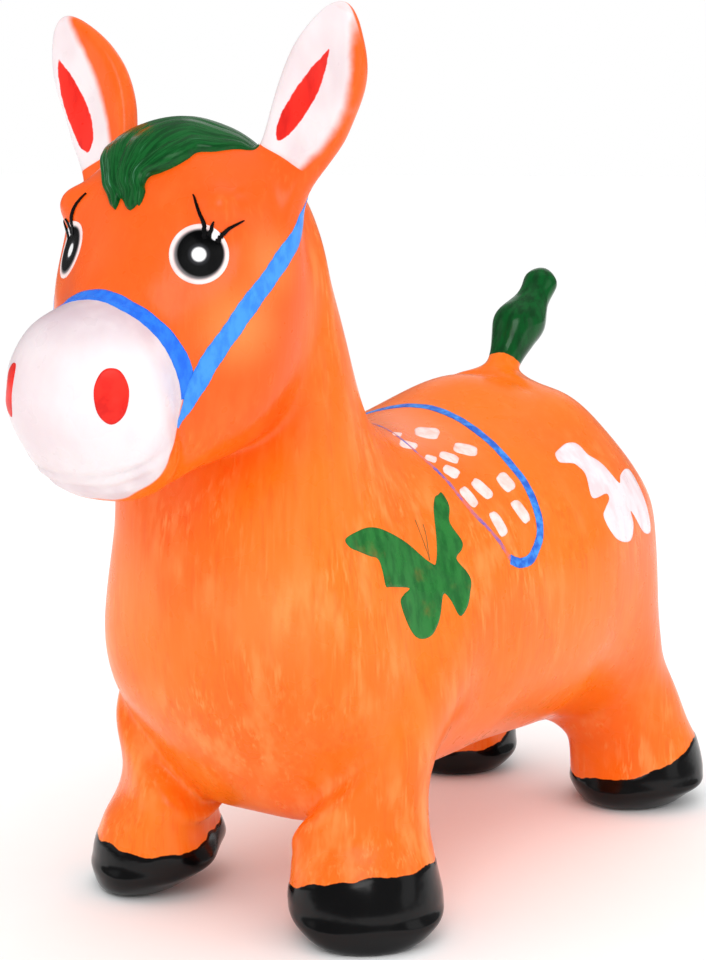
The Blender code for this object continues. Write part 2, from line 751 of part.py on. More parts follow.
def forelock(tree):
    """The lock of mane, a ridged strip that lies on the skin of the head."""
    heart_y = -POLL_FORWARD - LOCK_HEART_FORWARD_SHARE * HEAD_LENGTH
    heart = Vector((0, heart_y, POLL_HEIGHT - LOCK_HEART_DEPTH_SHARE * HEAD_DEPTH))
    strands = len(LOCK_TIP_SHARES)
    shape = bmesh.new()
    under = []
    over = []
    for i in range(LOCK_STEPS + 1):
        under_row = []
        over_row = []
        for k, reach in enumerate(LOCK_TIP_SHARES):
            across = 2 * k / (strands - 1) - 1
            way = reach * i / LOCK_STEPS
            point, breadth = lock_station(way)
            step = 1 / LOCK_STEPS
            ahead = lock_station(way + step)[0] - lock_station(way - step)[0]
            sideways = ahead.cross(point).normalized()
            aim = (point + sideways * breadth * across).normalized()
            skin = tree.ray_cast(heart + aim * HEAD_WIDTH, -aim)[0]
            rounding = math.sqrt(max(1 - across**2, 0))
            growth = math.sin(math.pi / 2 * min(i / LOCK_STEPS / LOCK_ROOT_SHARE, 1))
            ending = math.sqrt(max(1 - (i / LOCK_STEPS) ** LOCK_TIP_POWER, 0))
            groove = 1 - LOCK_GROOVE_SHARE * (1 + math.cos(math.tau * LOCK_STRANDS * across)) / 2
            height = LOCK_EDGE + LOCK_RELIEF * rounding * growth * ending * groove
            under_row.append(shape.verts.new(skin + aim * LOCK_GAP))
            over_row.append(shape.verts.new(skin + aim * (LOCK_GAP + height)))
        under.append(under_row)
        over.append(over_row)
    for rows, turn in ((over, 1), (under, -1)):
        for corners in block_faces(rows):
            shape.faces.new(corners[::turn])
    rim = rim_order(over)
    low = rim_order(under)
    for k in range(len(rim)):
        shape.faces.new((rim[k], low[k], low[k - 1], rim[k - 1]))
    bmesh.ops.recalc_face_normals(shape, faces=shape.faces)
    return shape


def rim_order(rows):
    """The vertices round the edge of a grid, in order."""
    rim = rows[0] + [row[-1] for row in rows[1:-1]]
    return rim + rows[-1][::-1] + [row[0] for row in rows[-2:0:-1]]


def material(name):
    colour, roughness = FINISHES[name]
    found = bpy.data.materials.get(name)
    if found:
        return found
    made = bpy.data.materials.new(name)
    made.use_nodes = True
    surface = made.node_tree.nodes["Principled BSDF"]
    surface.inputs["Base Color"].default_value = (*colour, 1)
    surface.inputs["Roughness"].default_value = roughness
    surface.inputs["Metallic"].default_value = 0
    return made


def place(name, shape, origin, shift, finish):
    """Makes the object of a shape that is drawn about the middle of the hooves."""
    for v in shape.verts:
        v.co -= origin
    for f in shape.faces:
        f.smooth = True
        f.material_index = 0
    mesh = bpy.data.meshes.new(name)
    shape.to_mesh(mesh)
    shape.free()
    mesh.materials.append(material(finish))
    ob = bpy.data.objects.new(name, mesh)
    ob.location = origin + shift
    bpy.context.collection.objects.link(ob)
    return ob


def zone_origin(zone):
    """Where a zone's piece turns or slides, or the middle of the hooves if it does neither."""
    for side_name, side in SIDES:
        if zone == f"ear_{side_name}":
            return ear_root(side)
        for end_name, end, *_ in ENDS:
            if zone == f"hoof_{end_name}_{side_name}":
                return hoof_place(side, end)
    if zone == "tail":
        return tail_point(0, 0, 0)[0]
    return Vector()


def zone_finish(zone):
    if zone == "tail":
        return "green"
    if zone == "muzzle_skin":
        return "white"
    return "black" if zone.startswith("hoof") else "orange"


def cut_valve_hole(torso, belly, shift):
    """Opens the belly for the valve seat, with the seam left round it."""
    shape = bmesh.new()
    bmesh.ops.create_cone(
        shape,
        cap_ends=True,
        segments=ROUND_STEPS,
        radius1=SEAT_RADIUS + SEAM,
        radius2=SEAT_RADIUS + SEAM,
        depth=BELLY_HEIGHT,
    )
    mesh = bpy.data.meshes.new("valve_hole_cutter")
    shape.to_mesh(mesh)
    shape.free()
    cutter = bpy.data.objects.new("valve_hole_cutter", mesh)
    cutter.location = belly + shift
    cutter.hide_render = True
    cutter.display_type = "WIRE"
    bpy.context.collection.objects.link(cutter)
    cut = torso.modifiers.new("Valve hole", "BOOLEAN")
    cut.operation = "DIFFERENCE"
    cut.object = cutter


def main():
    for ob in list(bpy.data.objects):
        bpy.data.objects.remove(ob, do_unlink=True)
    cage = draw_cage()
    outer = cage.smoothed(SMOOTH_LEVELS, 0)
    inner = cage.shrunk(WALL).smoothed(SMOOTH_LEVELS, WALL)
    fine = cage.smoothed(LOCK_LEVELS, 0)
    places = [v.co.y for v in outer.verts]
    shift = Vector((0, -(min(places) + max(places)) / 2, 0))
    objects = {}
    for zone in ZONES:
        shell = zone_shell(outer, inner, zone)
        objects[zone] = place(zone, shell, zone_origin(zone), shift, zone_finish(zone))
    belly = Vector((0, VALVE_BACK, height_at(BVHTree.FromBMesh(outer), 0, VALVE_BACK)))
    thickness = height_at(BVHTree.FromBMesh(inner), 0, VALVE_BACK) - belly.z
    cut_valve_hole(objects["torso_skin"], belly, shift)
    for name, shape in (("valve_seat", valve_seat(thickness)), ("valve_plug", valve_plug())):
        bmesh.ops.translate(shape, verts=shape.verts, vec=belly)
        place(name, shape, belly, shift, "clear")
    place("forelock", forelock(BVHTree.FromBMesh(fine)), Vector(), shift, "green")
    for surface in (outer, inner, fine):
        surface.free()


if __name__ == "__main__":
    main()
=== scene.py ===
"""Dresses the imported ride-on horse.

The skin is drawn from the same sections as the solids, but fine and without breaks, and is then
parted only where a limb moves. The moulded details are raised or sunk in it, the sprayed colours are
fields on its points, and the printed and brushed paint lies on it as thin films.
All of it is drawn about the middle of the hooves and set back by SHIFT as it is made.
"""

import math

import bmesh
import bpy
import numpy as np
from mathutils import Matrix, Vector
from mathutils.bvhtree import BVHTree
from mathutils.geometry import delaunay_2d_cdt


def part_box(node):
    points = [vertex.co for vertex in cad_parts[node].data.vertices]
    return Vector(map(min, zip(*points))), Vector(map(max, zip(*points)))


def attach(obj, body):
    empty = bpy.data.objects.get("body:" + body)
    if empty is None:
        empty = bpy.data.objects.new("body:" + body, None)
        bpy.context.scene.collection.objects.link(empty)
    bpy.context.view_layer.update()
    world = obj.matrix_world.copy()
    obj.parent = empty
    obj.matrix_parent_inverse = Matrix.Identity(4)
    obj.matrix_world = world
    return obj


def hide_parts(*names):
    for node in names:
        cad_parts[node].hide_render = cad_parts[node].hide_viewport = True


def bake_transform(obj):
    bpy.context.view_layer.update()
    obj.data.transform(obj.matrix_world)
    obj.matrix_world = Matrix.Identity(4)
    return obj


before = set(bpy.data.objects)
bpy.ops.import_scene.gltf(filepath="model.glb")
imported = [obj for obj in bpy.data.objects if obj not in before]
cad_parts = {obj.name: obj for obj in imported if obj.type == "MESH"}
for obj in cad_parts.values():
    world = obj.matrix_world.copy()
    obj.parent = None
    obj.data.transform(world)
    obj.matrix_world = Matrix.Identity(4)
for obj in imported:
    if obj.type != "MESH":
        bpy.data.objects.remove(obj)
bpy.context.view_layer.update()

# Overall stance, in metres
BODY_LENGTH = 0.428  # from the front of the chest to the back of the rump
HOOF_TRACK = 0.157  # between the middles of left and right hooves
HOOF_BASE = BODY_LENGTH * 0.7897  # between the middles of front and rear hooves
# Places measured from the middle of the four hooves
RUMP_BACK = BODY_LENGTH * 0.4486
POLL_FORWARD = BODY_LENGTH * 0.4790
LEG_ROOT_FORWARD = BODY_LENGTH * 0.3645  # of the front legs
LEG_ROOT_BACK = BODY_LENGTH * 0.2967  # of the rear legs

# Body
BODY_WIDTH = 0.250
BELLY_HEIGHT = 0.056
RUMP_HEIGHT = 0.310

# Neck and head
POLL_HEIGHT = 0.474
HEAD_LENGTH = 0.150  # from the poll to the tip of the nose, measured level
HEAD_DEPTH = 0.203  # from the poll down to the chin
HEAD_WIDTH = 0.150
MUZZLE_WIDTH = 0.104

# Legs and hooves
LEG_ROOT_TRACK = 0.134  # between the middles of left and right legs where they leave the body
LEG_ROOT_HEIGHT = 0.120
LEG_ROOT_SLANT = math.radians(-34)  # the root is higher on its outer side
LEG_WIDTH = 0.083
HOOF_WIDTH = 0.093
HOOF_HEIGHT = 0.046
FRONT_SOLE_RISE = 0.002  # of the middle of each front sole, since the hoof stands on its outer side
REAR_SOLE_RISE = -0.003  # the floor presses this much of each rear sole flat
FRONT_SOLE_TILT = math.radians(17)  # each front sole faces in
REAR_SOLE_TILT = math.radians(-7)  # each rear sole faces out

# Ears
EAR_ROOT_SPREAD = 0.064  # from the middle of the head out to the middle of each root
EAR_ROOT_DEPTH = 0.022  # below the poll
EAR_LENGTH = 0.096
EAR_BREADTH = 0.055
EAR_THICKNESS = 0.025
EAR_SPLAY = math.radians(24)  # how far each ear leans out
EAR_HOLLOW = 0.005  # depth of the dish in the front of each ear
EAR_FORWARD = 0.018  # of the middle of each root, in front of the poll
EAR_BOW = 0.009  # how far the middle of each ear curves back

# Tail
TAIL_LENGTH = 0.083
TAIL_FORWARD = 0.086  # of the root, from the back of the rump
TAIL_FOOT_DEPTH = 0.009  # of the back under the tail, below the top of the rump
TAIL_WIDTH = 0.032
TAIL_LEAN = math.radians(32)

FIT_PASSES = 5  # of the cage, toward the points that the skin has to reach

# How square the sections are (1 is an ellipse, less is squarer), and where their points lie, from
# the top round the left side to the bottom
BODY_SQUARENESS_SHARE = 0.92
HEAD_SQUARENESS_SHARE = 0.82
BODY_ANGLES = tuple(math.radians(a) for a in (0, 35, 70, 104, 135, 162, 180))
HEAD_ANGLES = tuple(math.radians(a) for a in (0, 28, 53, 80, 118, 155, 180))

# Sections of the body, back to front: place of the top line and height, place of the underline and
# height, then width and narrowing toward the top. Places are shares of the body length from the
# rump, heights are shares of the body's depth above the belly, widths are shares of the body width,
# and the narrowing is a share of the section's own width.
BODY_SHARES = (
    (0.063, 0.807, 0.037, 0.244, 0.640, 0.10),
    (0.105, 0.906, 0.093, 0.098, 0.864, 0.08),
    (0.220, 0.976, 0.201, 0.031, 0.972, 0.03),
    (0.327, 0.972, 0.332, 0.031, 1.000, 0.00),
    (0.425, 0.937, 0.449, 0.043, 0.968, 0.00),
    (0.505, 0.917, 0.577, 0.039, 0.944, 0.00),
    (0.584, 0.917, 0.710, 0.016, 0.960, 0.05),
    (0.640, 0.941, 0.787, 0.000, 0.992, 0.18),
    (0.689, 0.988, 0.881, 0.047, 1.004, 0.33),
    (0.729, 1.071, 0.965, 0.213, 0.968, 0.40),
)
RUMP_POLE_SHARE = 0.525  # height of the rearmost point
POLE_SHOULDER_SHARE = 0.78  # how near to each end the points beside it lie

# Sections of the neck: shares of the way from the body's last section to the head's first, along
# the top line and along the underline, then width as a share of the way between the two widths, and
# the narrowing
NECK_SHARES = (
    (0.21, 0.32, 0.33, 0.36),
    (0.47, 0.64, 0.66, 0.23),
    (0.75, 0.86, 0.90, 0.12),
)
CHEST_BULGE_SHARE = 0.10  # how far the underline of the neck bows forward, of its own length

# Sections of the head, poll to nose: place of the top line in front of the poll and its height below
# it, place of the underline and its height below the poll, then width and narrowing. Places are
# shares of the head length, drops are shares of the head drop, and widths are shares of the head
# width, or on the muzzle of the muzzle width.
HEAD_SHARES = (
    (-0.153, 0.118, 0.127, 0.916, 0.980, 0.06),
    (0.007, 0.015, 0.207, 0.921, 1.007, 0.00),
    (0.247, 0.005, 0.300, 0.936, 1.013, -0.04),
    (0.420, 0.108, 0.393, 0.951, 0.880, -0.12),
    (0.553, 0.266, 0.467, 0.975, 0.720, -0.10),
)
MUZZLE_SHARES = (
    (0.667, 0.424, 0.527, 0.990, 0.913, 0.08),
    (0.820, 0.483, 0.640, 1.000, 1.000, 0.05),
    (0.947, 0.591, 0.800, 0.951, 0.808, 0.00),
)
NOSE_POLE_SHARE = 0.75

# Places on the cage where the limbs leave it
REAR_LEG_SECTION = 1
FRONT_LEG_SECTION = 6
TAIL_SECTION = 1
EAR_SECTION = 14

# Leg sections, top to bottom: way from root to hoof and height, as shares of the drop from the root
# to the hoof's top, then radius as a share of half the leg width, and share of the root's slant
LEG_SHARES = ((0.42, 0.48, 1.00, 1.0), (0.74, 0.76, 0.99, 0.4), (1, 1, 1, 0))
# Hoof sections: height and radius as shares of the hoof's, then share of the sole's tilt and rise
HOOF_SHARES = ((0.50, 1.00, 0.50), (0.13, 0.92, 1.00))

# Ear sections, root to tip: place along the ear, breadth and thickness
EAR_SHARES = (
    (0.06, 0.72, 0.95),
    (0.28, 0.92, 0.95),
    (0.52, 1.02, 0.95),
    (0.76, 0.76, 0.80),
    (0.95, 0.34, 0.45),
)
EAR_CORNER_SHARE = 0.86  # where the corners of a section lie, of half its breadth
EAR_BACK_SHARE = 0.45  # and behind the middle, of half its thickness
EAR_FRONT_SHARE = 0.75

# Tail sections, root to tip: place along the tail, width, how far it bows back, and how much of the
# lean the section takes
TAIL_SHARES = (
    (-0.05, 1.12, 0.00, 0.3),
    (0.10, 1.00, 0.00, 0.8),
    (0.36, 1.20, 0.00, 1.0),
    (0.60, 0.98, 0.05, 1.0),
    (0.80, 0.66, 0.11, 1.0),
    (0.94, 0.66, 0.13, 1.0),
)
TAIL_SKIRT_SHARE = 0.52  # where the back begins to turn up, on the way out from under the tail
TAIL_TIP_BOW_SHARE = 0.13

SIDES = (("left", 1), ("right", -1))
# The pieces that the skin is parted into
LIMBS = ("front_leg", "rear_leg", "ear")
PIECES = ("body_skin", "tail_skin") + tuple(f"{limb}_{side}_skin" for limb in LIMBS for side, _ in SIDES)
# Name of each end, which way it lies, the leg's section, its root, and the tilt and rise of its sole
ENDS = (
    ("front", -1, FRONT_LEG_SECTION, LEG_ROOT_FORWARD, FRONT_SOLE_TILT, FRONT_SOLE_RISE),
    ("rear", 1, REAR_LEG_SECTION, LEG_ROOT_BACK, REAR_SOLE_TILT, REAR_SOLE_RISE),
)


def add_object(name, data):
    """A new object in the scene."""
    ob = bpy.data.objects.new(name, data)
    bpy.context.scene.collection.objects.link(ob)
    return ob


def lengthwise(rows, back, length, base, depth, width):
    """Top line point, underline point, half width and narrowing of each section of body or head.

    Shares of the length count forward from the place at the back, those of the depth from the base.
    """
    for top_place, top_height, under_place, under_height, breadth, slope in rows:
        top = Vector((0, back - top_place * length, base + top_height * depth))
        under = Vector((0, back - under_place * length, base + under_height * depth))
        yield top, under, breadth * width / 2, slope


def neck_section(shares, body_end, head_start):
    """A section between the body's last and the head's first, bowed forward like a full chest."""
    top_way, under_way, width_way, slope = shares
    top = body_end[0].lerp(head_start[0], top_way)
    under = body_end[1].lerp(head_start[1], under_way)
    run = head_start[1] - body_end[1]
    bow = CHEST_BULGE_SHARE * run.length * math.sin(math.pi * under_way)
    under += Vector((0, -bow, 0))
    half_width = body_end[2] + (head_start[2] - body_end[2]) * width_way
    return top, under, half_width, slope


def all_sections():
    """Every section from the rump to the nose, in four lots."""
    belly_to_rump = RUMP_HEIGHT - BELLY_HEIGHT
    poll = (-POLL_FORWARD, HEAD_LENGTH, POLL_HEIGHT, -HEAD_DEPTH)
    rump = (RUMP_BACK, BODY_LENGTH, BELLY_HEIGHT, belly_to_rump)
    body = list(lengthwise(BODY_SHARES, *rump, BODY_WIDTH))
    head = list(lengthwise(HEAD_SHARES, *poll, HEAD_WIDTH))
    muzzle = list(lengthwise(MUZZLE_SHARES, *poll, MUZZLE_WIDTH))
    neck = [neck_section(s, body[-1], head[0]) for s in NECK_SHARES]
    return body, neck, head, muzzle


def squared(value, power):
    """A power of a sine or cosine that keeps its sign."""
    return math.copysign(abs(value) ** power, value)


def section_points(section, headward):
    """Twelve points round a section. headward runs from zero on the body to one on the head."""
    top, under, half_width, slope = section
    middle = (top + under) / 2
    up = (top - under) / 2
    power = BODY_SQUARENESS_SHARE + (HEAD_SQUARENESS_SHARE - BODY_SQUARENESS_SHARE) * headward
    angles = [a + (b - a) * headward for a, b in zip(BODY_ANGLES, HEAD_ANGLES)]
    angles += [-a for a in angles[-2:0:-1]]
    points = []
    for angle in angles:
        rise = math.cos(angle)
        reach = half_width * (1 - slope * (1 + rise) / 2) * squared(math.sin(angle), power)
        points.append(middle + up * squared(rise, power) + Vector((reach, 0, 0)))
    return points


class Cage:
    """A cage of four-sided faces, the point each vertex must reach, and the piece of each face."""

    def __init__(self):
        self.mesh = bmesh.new()
        self.targets = {}

    def vertex(self, point):
        """A vertex of the cage, whose point the smooth surface has to reach."""
        v = self.mesh.verts.new(point)
        self.targets[v] = Vector(point)
        return v

    def ring(self, points):
        return [self.vertex(p) for p in points]

    def face(self, corners, piece, side=1):
        """One face, with its corners clockwise as seen from outside, or the other way on the right."""
        f = self.mesh.faces.new(corners[::-side])
        f.material_index = PIECES.index(piece)
        f.smooth = True

    def join(self, near, far, piece, side=1):
        """Faces between two rings of as many vertices, whose order turns round on the right side."""
        near, far = near[::side], far[::side]
        for k in range(len(near)):
            n = (k + 1) % len(near)
            self.face((near[k], near[n], far[n], far[k]), piece)

    def grow(self, near, points, piece, side=1):
        """One more ring on a limb."""
        far = self.ring(points)
        self.join(near, far, piece, side)
        return far

    def close_six(self, ring, piece, side):
        """Closes a ring of six with two faces."""
        self.face((ring[0], ring[1], ring[4], ring[5]), piece, side)
        self.face((ring[1], ring[2], ring[3], ring[4]), piece, side)

    def close_eight(self, ring, middle, piece, side):
        """Closes a ring of eight with four faces round a middle point."""
        centre = self.vertex(middle)
        for k in range(0, 8, 2):
            self.face((ring[k - 1], ring[k], ring[k + 1], centre), piece, side)

    def open_patch(self, rings, first, last, sectors):
        """Clears the faces between two sections over some sectors, and gives the rim in order."""
        block = [[rings[i][k] for k in sectors] for i in range(first, last + 1)]
        inside = {frozenset(q) for q in block_faces(block)}
        gone = [f for f in self.mesh.faces if frozenset(f.verts) in inside]
        bmesh.ops.delete(self.mesh, geom=gone, context="FACES_ONLY")
        for row in block[1:-1]:
            for v in row[1:-1]:
                del self.targets[v]
                self.mesh.verts.remove(v)
        rim = block[0] + [row[-1] for row in block[1:-1]]
        rim += block[-1][::-1] + [row[0] for row in block[-2:0:-1]]
        return rim

    def cap_wide(self, ring, pole, half_width, side):
        """Closes a section ring with two strips of four faces, over a shallow dome."""
        reach = Vector((half_width / 2, 0, 0))
        middle = (ring[0].co + ring[6].co) / 2
        shoulder = middle.lerp(pole, POLE_SHOULDER_SHARE)
        right = self.vertex(shoulder - reach)
        left = self.vertex(shoulder + reach)
        across = [ring[9], right, self.vertex(pole), left, ring[3]]
        upper = [ring[10], ring[11], ring[0], ring[1], ring[2]]
        lower = [ring[8], ring[7], ring[6], ring[5], ring[4]]
        for strip in ((upper, across), (across, lower)):
            for k in range(4):
                corners = (strip[0][k], strip[0][k + 1], strip[1][k + 1], strip[1][k])
                self.face(corners, "body_skin", side)

    def settle(self):
        """Moves the cage until the smooth surface passes through the targets.

        Where other than four edges meet, the cage keeps its place, which rounds a limb into the body.
        """
        regular = [v for v in self.targets if len(v.link_edges) == 4]
        for _ in range(FIT_PASSES):
            moves = [self.targets[v] - limit_point(v) for v in regular]
            for v, move in zip(regular, moves):
                v.co += move
        self.mesh.normal_update()

    def smoothed(self, levels, lowest):
        """The smooth surface, pressed flat where it would reach below the lowest height."""
        mesh = bpy.data.meshes.new("cage")
        self.mesh.to_mesh(mesh)
        ob = add_object("cage", mesh)
        ob.modifiers.new("Smooth", "SUBSURF").levels = levels
        surface = bmesh.new()
        surface.from_object(ob, bpy.context.evaluated_depsgraph_get())
        bpy.data.objects.remove(ob, do_unlink=True)
        bpy.data.meshes.remove(mesh)
        for v in surface.verts:
            v.co.z = max(v.co.z, lowest)
        return surface


def block_faces(block):
    """The four corners of each face between the rows of a block of vertices."""
    for upper, lower in zip(block, block[1:]):
        for k in range(len(upper) - 1):
            yield upper[k], upper[k + 1], lower[k + 1], lower[k]


def limit_point(v):
    """Where a Catmull-Clark surface of four-sided faces settles at one vertex of its cage."""
    n = len(v.link_edges)
    beside = Vector()
    for e in v.link_edges:
        beside += e.other_vert(v).co
    across = Vector()
    for loop in v.link_loops:
        across += loop.link_loop_next.link_loop_next.vert.co
    return (n * n * v.co + 4 * beside + across) / (n * (n + 5))


def add_trunk(cage):
    """Rump to nose, one ring of faces after another. Returns the rings."""
    body, neck, head, muzzle = all_sections()
    sections = body + neck + head + muzzle
    rings = []
    for i, section in enumerate(sections):
        headward = (i - len(body) + 1) / (len(neck) + 1)
        rings.append(cage.ring(section_points(section, min(max(headward, 0), 1))))
    for ring, following in zip(rings, rings[1:]):
        cage.join(ring, following, "body_skin")
    rump_z = BELLY_HEIGHT + RUMP_POLE_SHARE * (RUMP_HEIGHT - BELLY_HEIGHT)
    nose_z = POLL_HEIGHT - NOSE_POLE_SHARE * HEAD_DEPTH
    cage.cap_wide(rings[0], Vector((0, RUMP_BACK, rump_z)), sections[0][2], -1)
    nose = Vector((0, -POLL_FORWARD - HEAD_LENGTH, nose_z))
    cage.cap_wide(rings[-1], nose, sections[-1][2], 1)
    return rings


def hoof_place(side, end):
    """The middle of a hoof, on the floor."""
    return Vector((side * HOOF_TRACK / 2, end * HOOF_BASE / 2, 0))


def add_leg(cage, rings, side_name, side, leg_end):
    """One leg and its hoof, grown from a patch of the belly."""
    end_name, end, section, root_reach, tilt, rise = leg_end
    sectors = (3, 4, 5) if side > 0 else (9, 8, 7)
    near = cage.open_patch(rings, section, section + 2, sectors)
    piece = f"{end_name}_leg_{side_name}_skin"
    hoof = hoof_place(side, end)
    hoof_top = hoof + Vector((0, 0, HOOF_HEIGHT))
    root = Vector((side * LEG_ROOT_TRACK / 2, end * root_reach, LEG_ROOT_HEIGHT))
    for i, (way, down, radius, share) in enumerate(LEG_SHARES):
        middle = root.lerp(hoof_top, way)
        middle.z = root.z + (hoof_top.z - root.z) * down
        outward = Vector((side, 0, 0))
        ring = leg_ring(middle, radius * LEG_WIDTH / 2, side, outward, share * LEG_ROOT_SLANT)
        near = cage.grow(near, ring, piece if i else "body_skin", side)
    outward = Vector((side, end, 0)).normalized()
    for height, radius, share in HOOF_SHARES:
        middle = hoof + Vector((0, 0, height * HOOF_HEIGHT + share * rise))
        ring = leg_ring(middle, radius * HOOF_WIDTH / 2, side, outward, share * tilt)
        near = cage.grow(near, ring, piece, side)
    cage.close_eight(near, hoof + Vector((0, 0, rise)), piece, side)


def leg_ring(middle, radius, side, outward, tilt):
    """Eight points round a leg, lower on its outward side, in the order of the patch it grows from."""
    points = []
    for k in range(8):
        angle = math.tau * (k + 1) / 8
        out = Vector((side * math.cos(angle), math.sin(angle), 0))
        lift = -radius * out.dot(outward) * math.tan(tilt)
        points.append(middle + out * radius + Vector((0, 0, lift)))
    return points


def ear_root(side):
    """The middle of an ear's root."""
    return Vector((side * EAR_ROOT_SPREAD, -POLL_FORWARD - EAR_FORWARD, POLL_HEIGHT - EAR_ROOT_DEPTH))


def ear_axes(side):
    """The directions up an ear and out along its breadth."""
    sine, cosine = math.sin(EAR_SPLAY), math.cos(EAR_SPLAY)
    return Vector((side * sine, 0, cosine)), Vector((side * cosine, 0, -sine))


def add_ear(cage, rings, side_name, side):
    """One ear, a leaf with a dished front, grown from a patch beside the poll."""
    sectors = (1, 2, 3) if side > 0 else (11, 10, 9)
    near = cage.open_patch(rings, EAR_SECTION, EAR_SECTION + 1, sectors)
    along, across = ear_axes(side)
    forward = Vector((0, -1, 0))
    piece = f"ear_{side_name}_skin"
    for i, (way, breadth, thickness) in enumerate(EAR_SHARES):
        bow = forward * EAR_BOW * math.sin(math.pi * way)
        middle = ear_root(side) + along * way * EAR_LENGTH - bow
        corner = across * breadth * EAR_BREADTH / 2 * EAR_CORNER_SHARE
        deep = forward * thickness * EAR_THICKNESS / 2
        dish = forward * EAR_HOLLOW * breadth
        points = (
            middle - corner - deep * EAR_BACK_SHARE,
            middle - deep,
            middle + corner - deep * EAR_BACK_SHARE,
            middle + corner + deep * EAR_FRONT_SHARE,
            middle + deep - dish,
            middle - corner + deep * EAR_FRONT_SHARE,
        )
        near = cage.grow(near, points, piece if i else "body_skin", side)
    cage.close_six(near, piece, side)


TAIL_ROOT = Vector((0, RUMP_BACK - TAIL_FORWARD, RUMP_HEIGHT))
TAIL_ALONG = Vector((0, math.sin(TAIL_LEAN), math.cos(TAIL_LEAN)))


def tail_point(way, bow, lean):
    """A point on the tail's middle line, and the direction that is back at that point."""
    back = Vector((0, math.cos(TAIL_LEAN * lean), -math.sin(TAIL_LEAN * lean)))
    return TAIL_ROOT + (TAIL_ALONG * way + back * bow) * TAIL_LENGTH, back


def add_tail(cage, rings):
    """The tail, a short club that stands up from the rump on a low skirt."""
    rim = cage.open_patch(rings, TAIL_SECTION, TAIL_SECTION + 2, (11, 0, 1))
    foot = TAIL_ROOT - Vector((0, 0, TAIL_FOOT_DEPTH))
    skirt = []
    for v in rim:
        out = cage.targets[v] - foot
        skirt.append(foot + Vector((out.x, out.y, out.z * TAIL_SKIRT_SHARE)) * TAIL_SKIRT_SHARE)
    near = cage.grow(rim, skirt, "body_skin")
    for i, (way, width, bow, lean) in enumerate(TAIL_SHARES):
        middle, back = tail_point(way, bow, lean)
        radius = width * TAIL_WIDTH / 2
        points = []
        for k in range(8):
            angle = math.tau * (k - 1) / 8
            left = Vector((math.sin(angle), 0, 0))
            points.append(middle + (left + back * math.cos(angle)) * radius)
        near = cage.grow(near, points, "tail_skin" if i else "body_skin")
    cage.close_eight(near, tail_point(1, TAIL_TIP_BOW_SHARE, 1)[0], "tail_skin", 1)


def draw_cage():
    """The cage of the whole skin, with every limb grown out of the trunk."""
    cage = Cage()
    rings = add_trunk(cage)
    for side_name, side in SIDES:
        for leg_end in ENDS:
            add_leg(cage, rings, side_name, side, leg_end)
        add_ear(cage, rings, side_name, side)
    add_tail(cage, rings)
    cage.settle()
    return cage


def between(a, b, c, d, way):
    """A smooth way from b to c that runs on from a and on to d."""
    bend = 2 * a - 5 * b + 4 * c - d
    twist = 3 * (b - c) + d - a
    return b + ((c - a) * way + bend * way**2 + twist * way**3) / 2


# Surface

BLOWN_LEVELS = 3  # of the surface that is evened out as blowing does
FINE_LEVELS = 1  # on top of them
FLOOR_ROUNDING = 0.0012  # of the edge where a sole lies flat
CREASE_PASSES = 160
CREASE_SOFTNESS = 0.3  # how much ridges give way, where hollows fill fully
TAIL_PASSES = 5  # of evening out the tail
CLEAR = 0.00018  # of a paint film above the skin
SINK = 0.0003  # of a film's edge below the skin


def read_surface(mesh):
    """Points and quads of a mesh, and the piece of each quad as its place in PIECES."""
    points = np.empty(len(mesh.vertices) * 3)
    mesh.vertices.foreach_get("co", points)
    corners = np.empty(len(mesh.loops), np.int32)
    mesh.loops.foreach_get("vertex_index", corners)
    pieces = np.empty(len(mesh.polygons), np.int32)
    mesh.polygons.foreach_get("material_index", pieces)
    return points.reshape(-1, 3), corners.reshape(-1, 4), pieces


def draw_skin():
    """Points, quads and pieces of the whole skin, about the middle of the hooves, and the shift."""
    cage = draw_cage()
    coarse = cage.smoothed(1, 0)
    places = [v.co.y for v in coarse.verts]
    coarse.free()
    surface = cage.smoothed(BLOWN_LEVELS, -1)
    mesh = bpy.data.meshes.new("skin")
    surface.to_mesh(mesh)
    surface.free()
    points, quads, _ = read_surface(mesh)
    points = relax(points, quads, leg_root_weight(points), CREASE_PASSES, CREASE_SOFTNESS)
    points = relax(points, quads, soft_step(tail_field(points), -0.006, 0.004), TAIL_PASSES, 1)
    mesh.vertices.foreach_set("co", points.ravel())
    ob = add_object("skin", mesh)
    ob.modifiers.new("Smooth", "SUBSURF").levels = FINE_LEVELS
    fine = bpy.data.meshes.new_from_object(ob.evaluated_get(bpy.context.evaluated_depsgraph_get()))
    result = read_surface(fine)
    bpy.data.objects.remove(ob)
    bpy.data.meshes.remove(mesh)
    bpy.data.meshes.remove(fine)
    return *result, -(min(places) + max(places)) / 2


def gathered(index, values, count):
    """The sum of the rows of values that belong to each point."""
    return np.stack([np.bincount(index, values[:, k], count) for k in range(3)], axis=1)


def normals_of(points, quads):
    """The unit normal at each point."""
    corners = [points[quads[:, k]] for k in range(4)]
    across = np.cross(corners[2] - corners[0], corners[3] - corners[1])
    total = sum(gathered(quads[:, k], across, len(points)) for k in range(4))
    return total / np.maximum(np.linalg.norm(total, axis=1, keepdims=True), 1e-12)


def near(points, place, radius):
    """One at a place, falling off smoothly to nothing at two and a half times the radius."""
    away = np.linalg.norm(points - place, axis=1) / radius
    return np.exp(-away * away) * (away < 2.5)


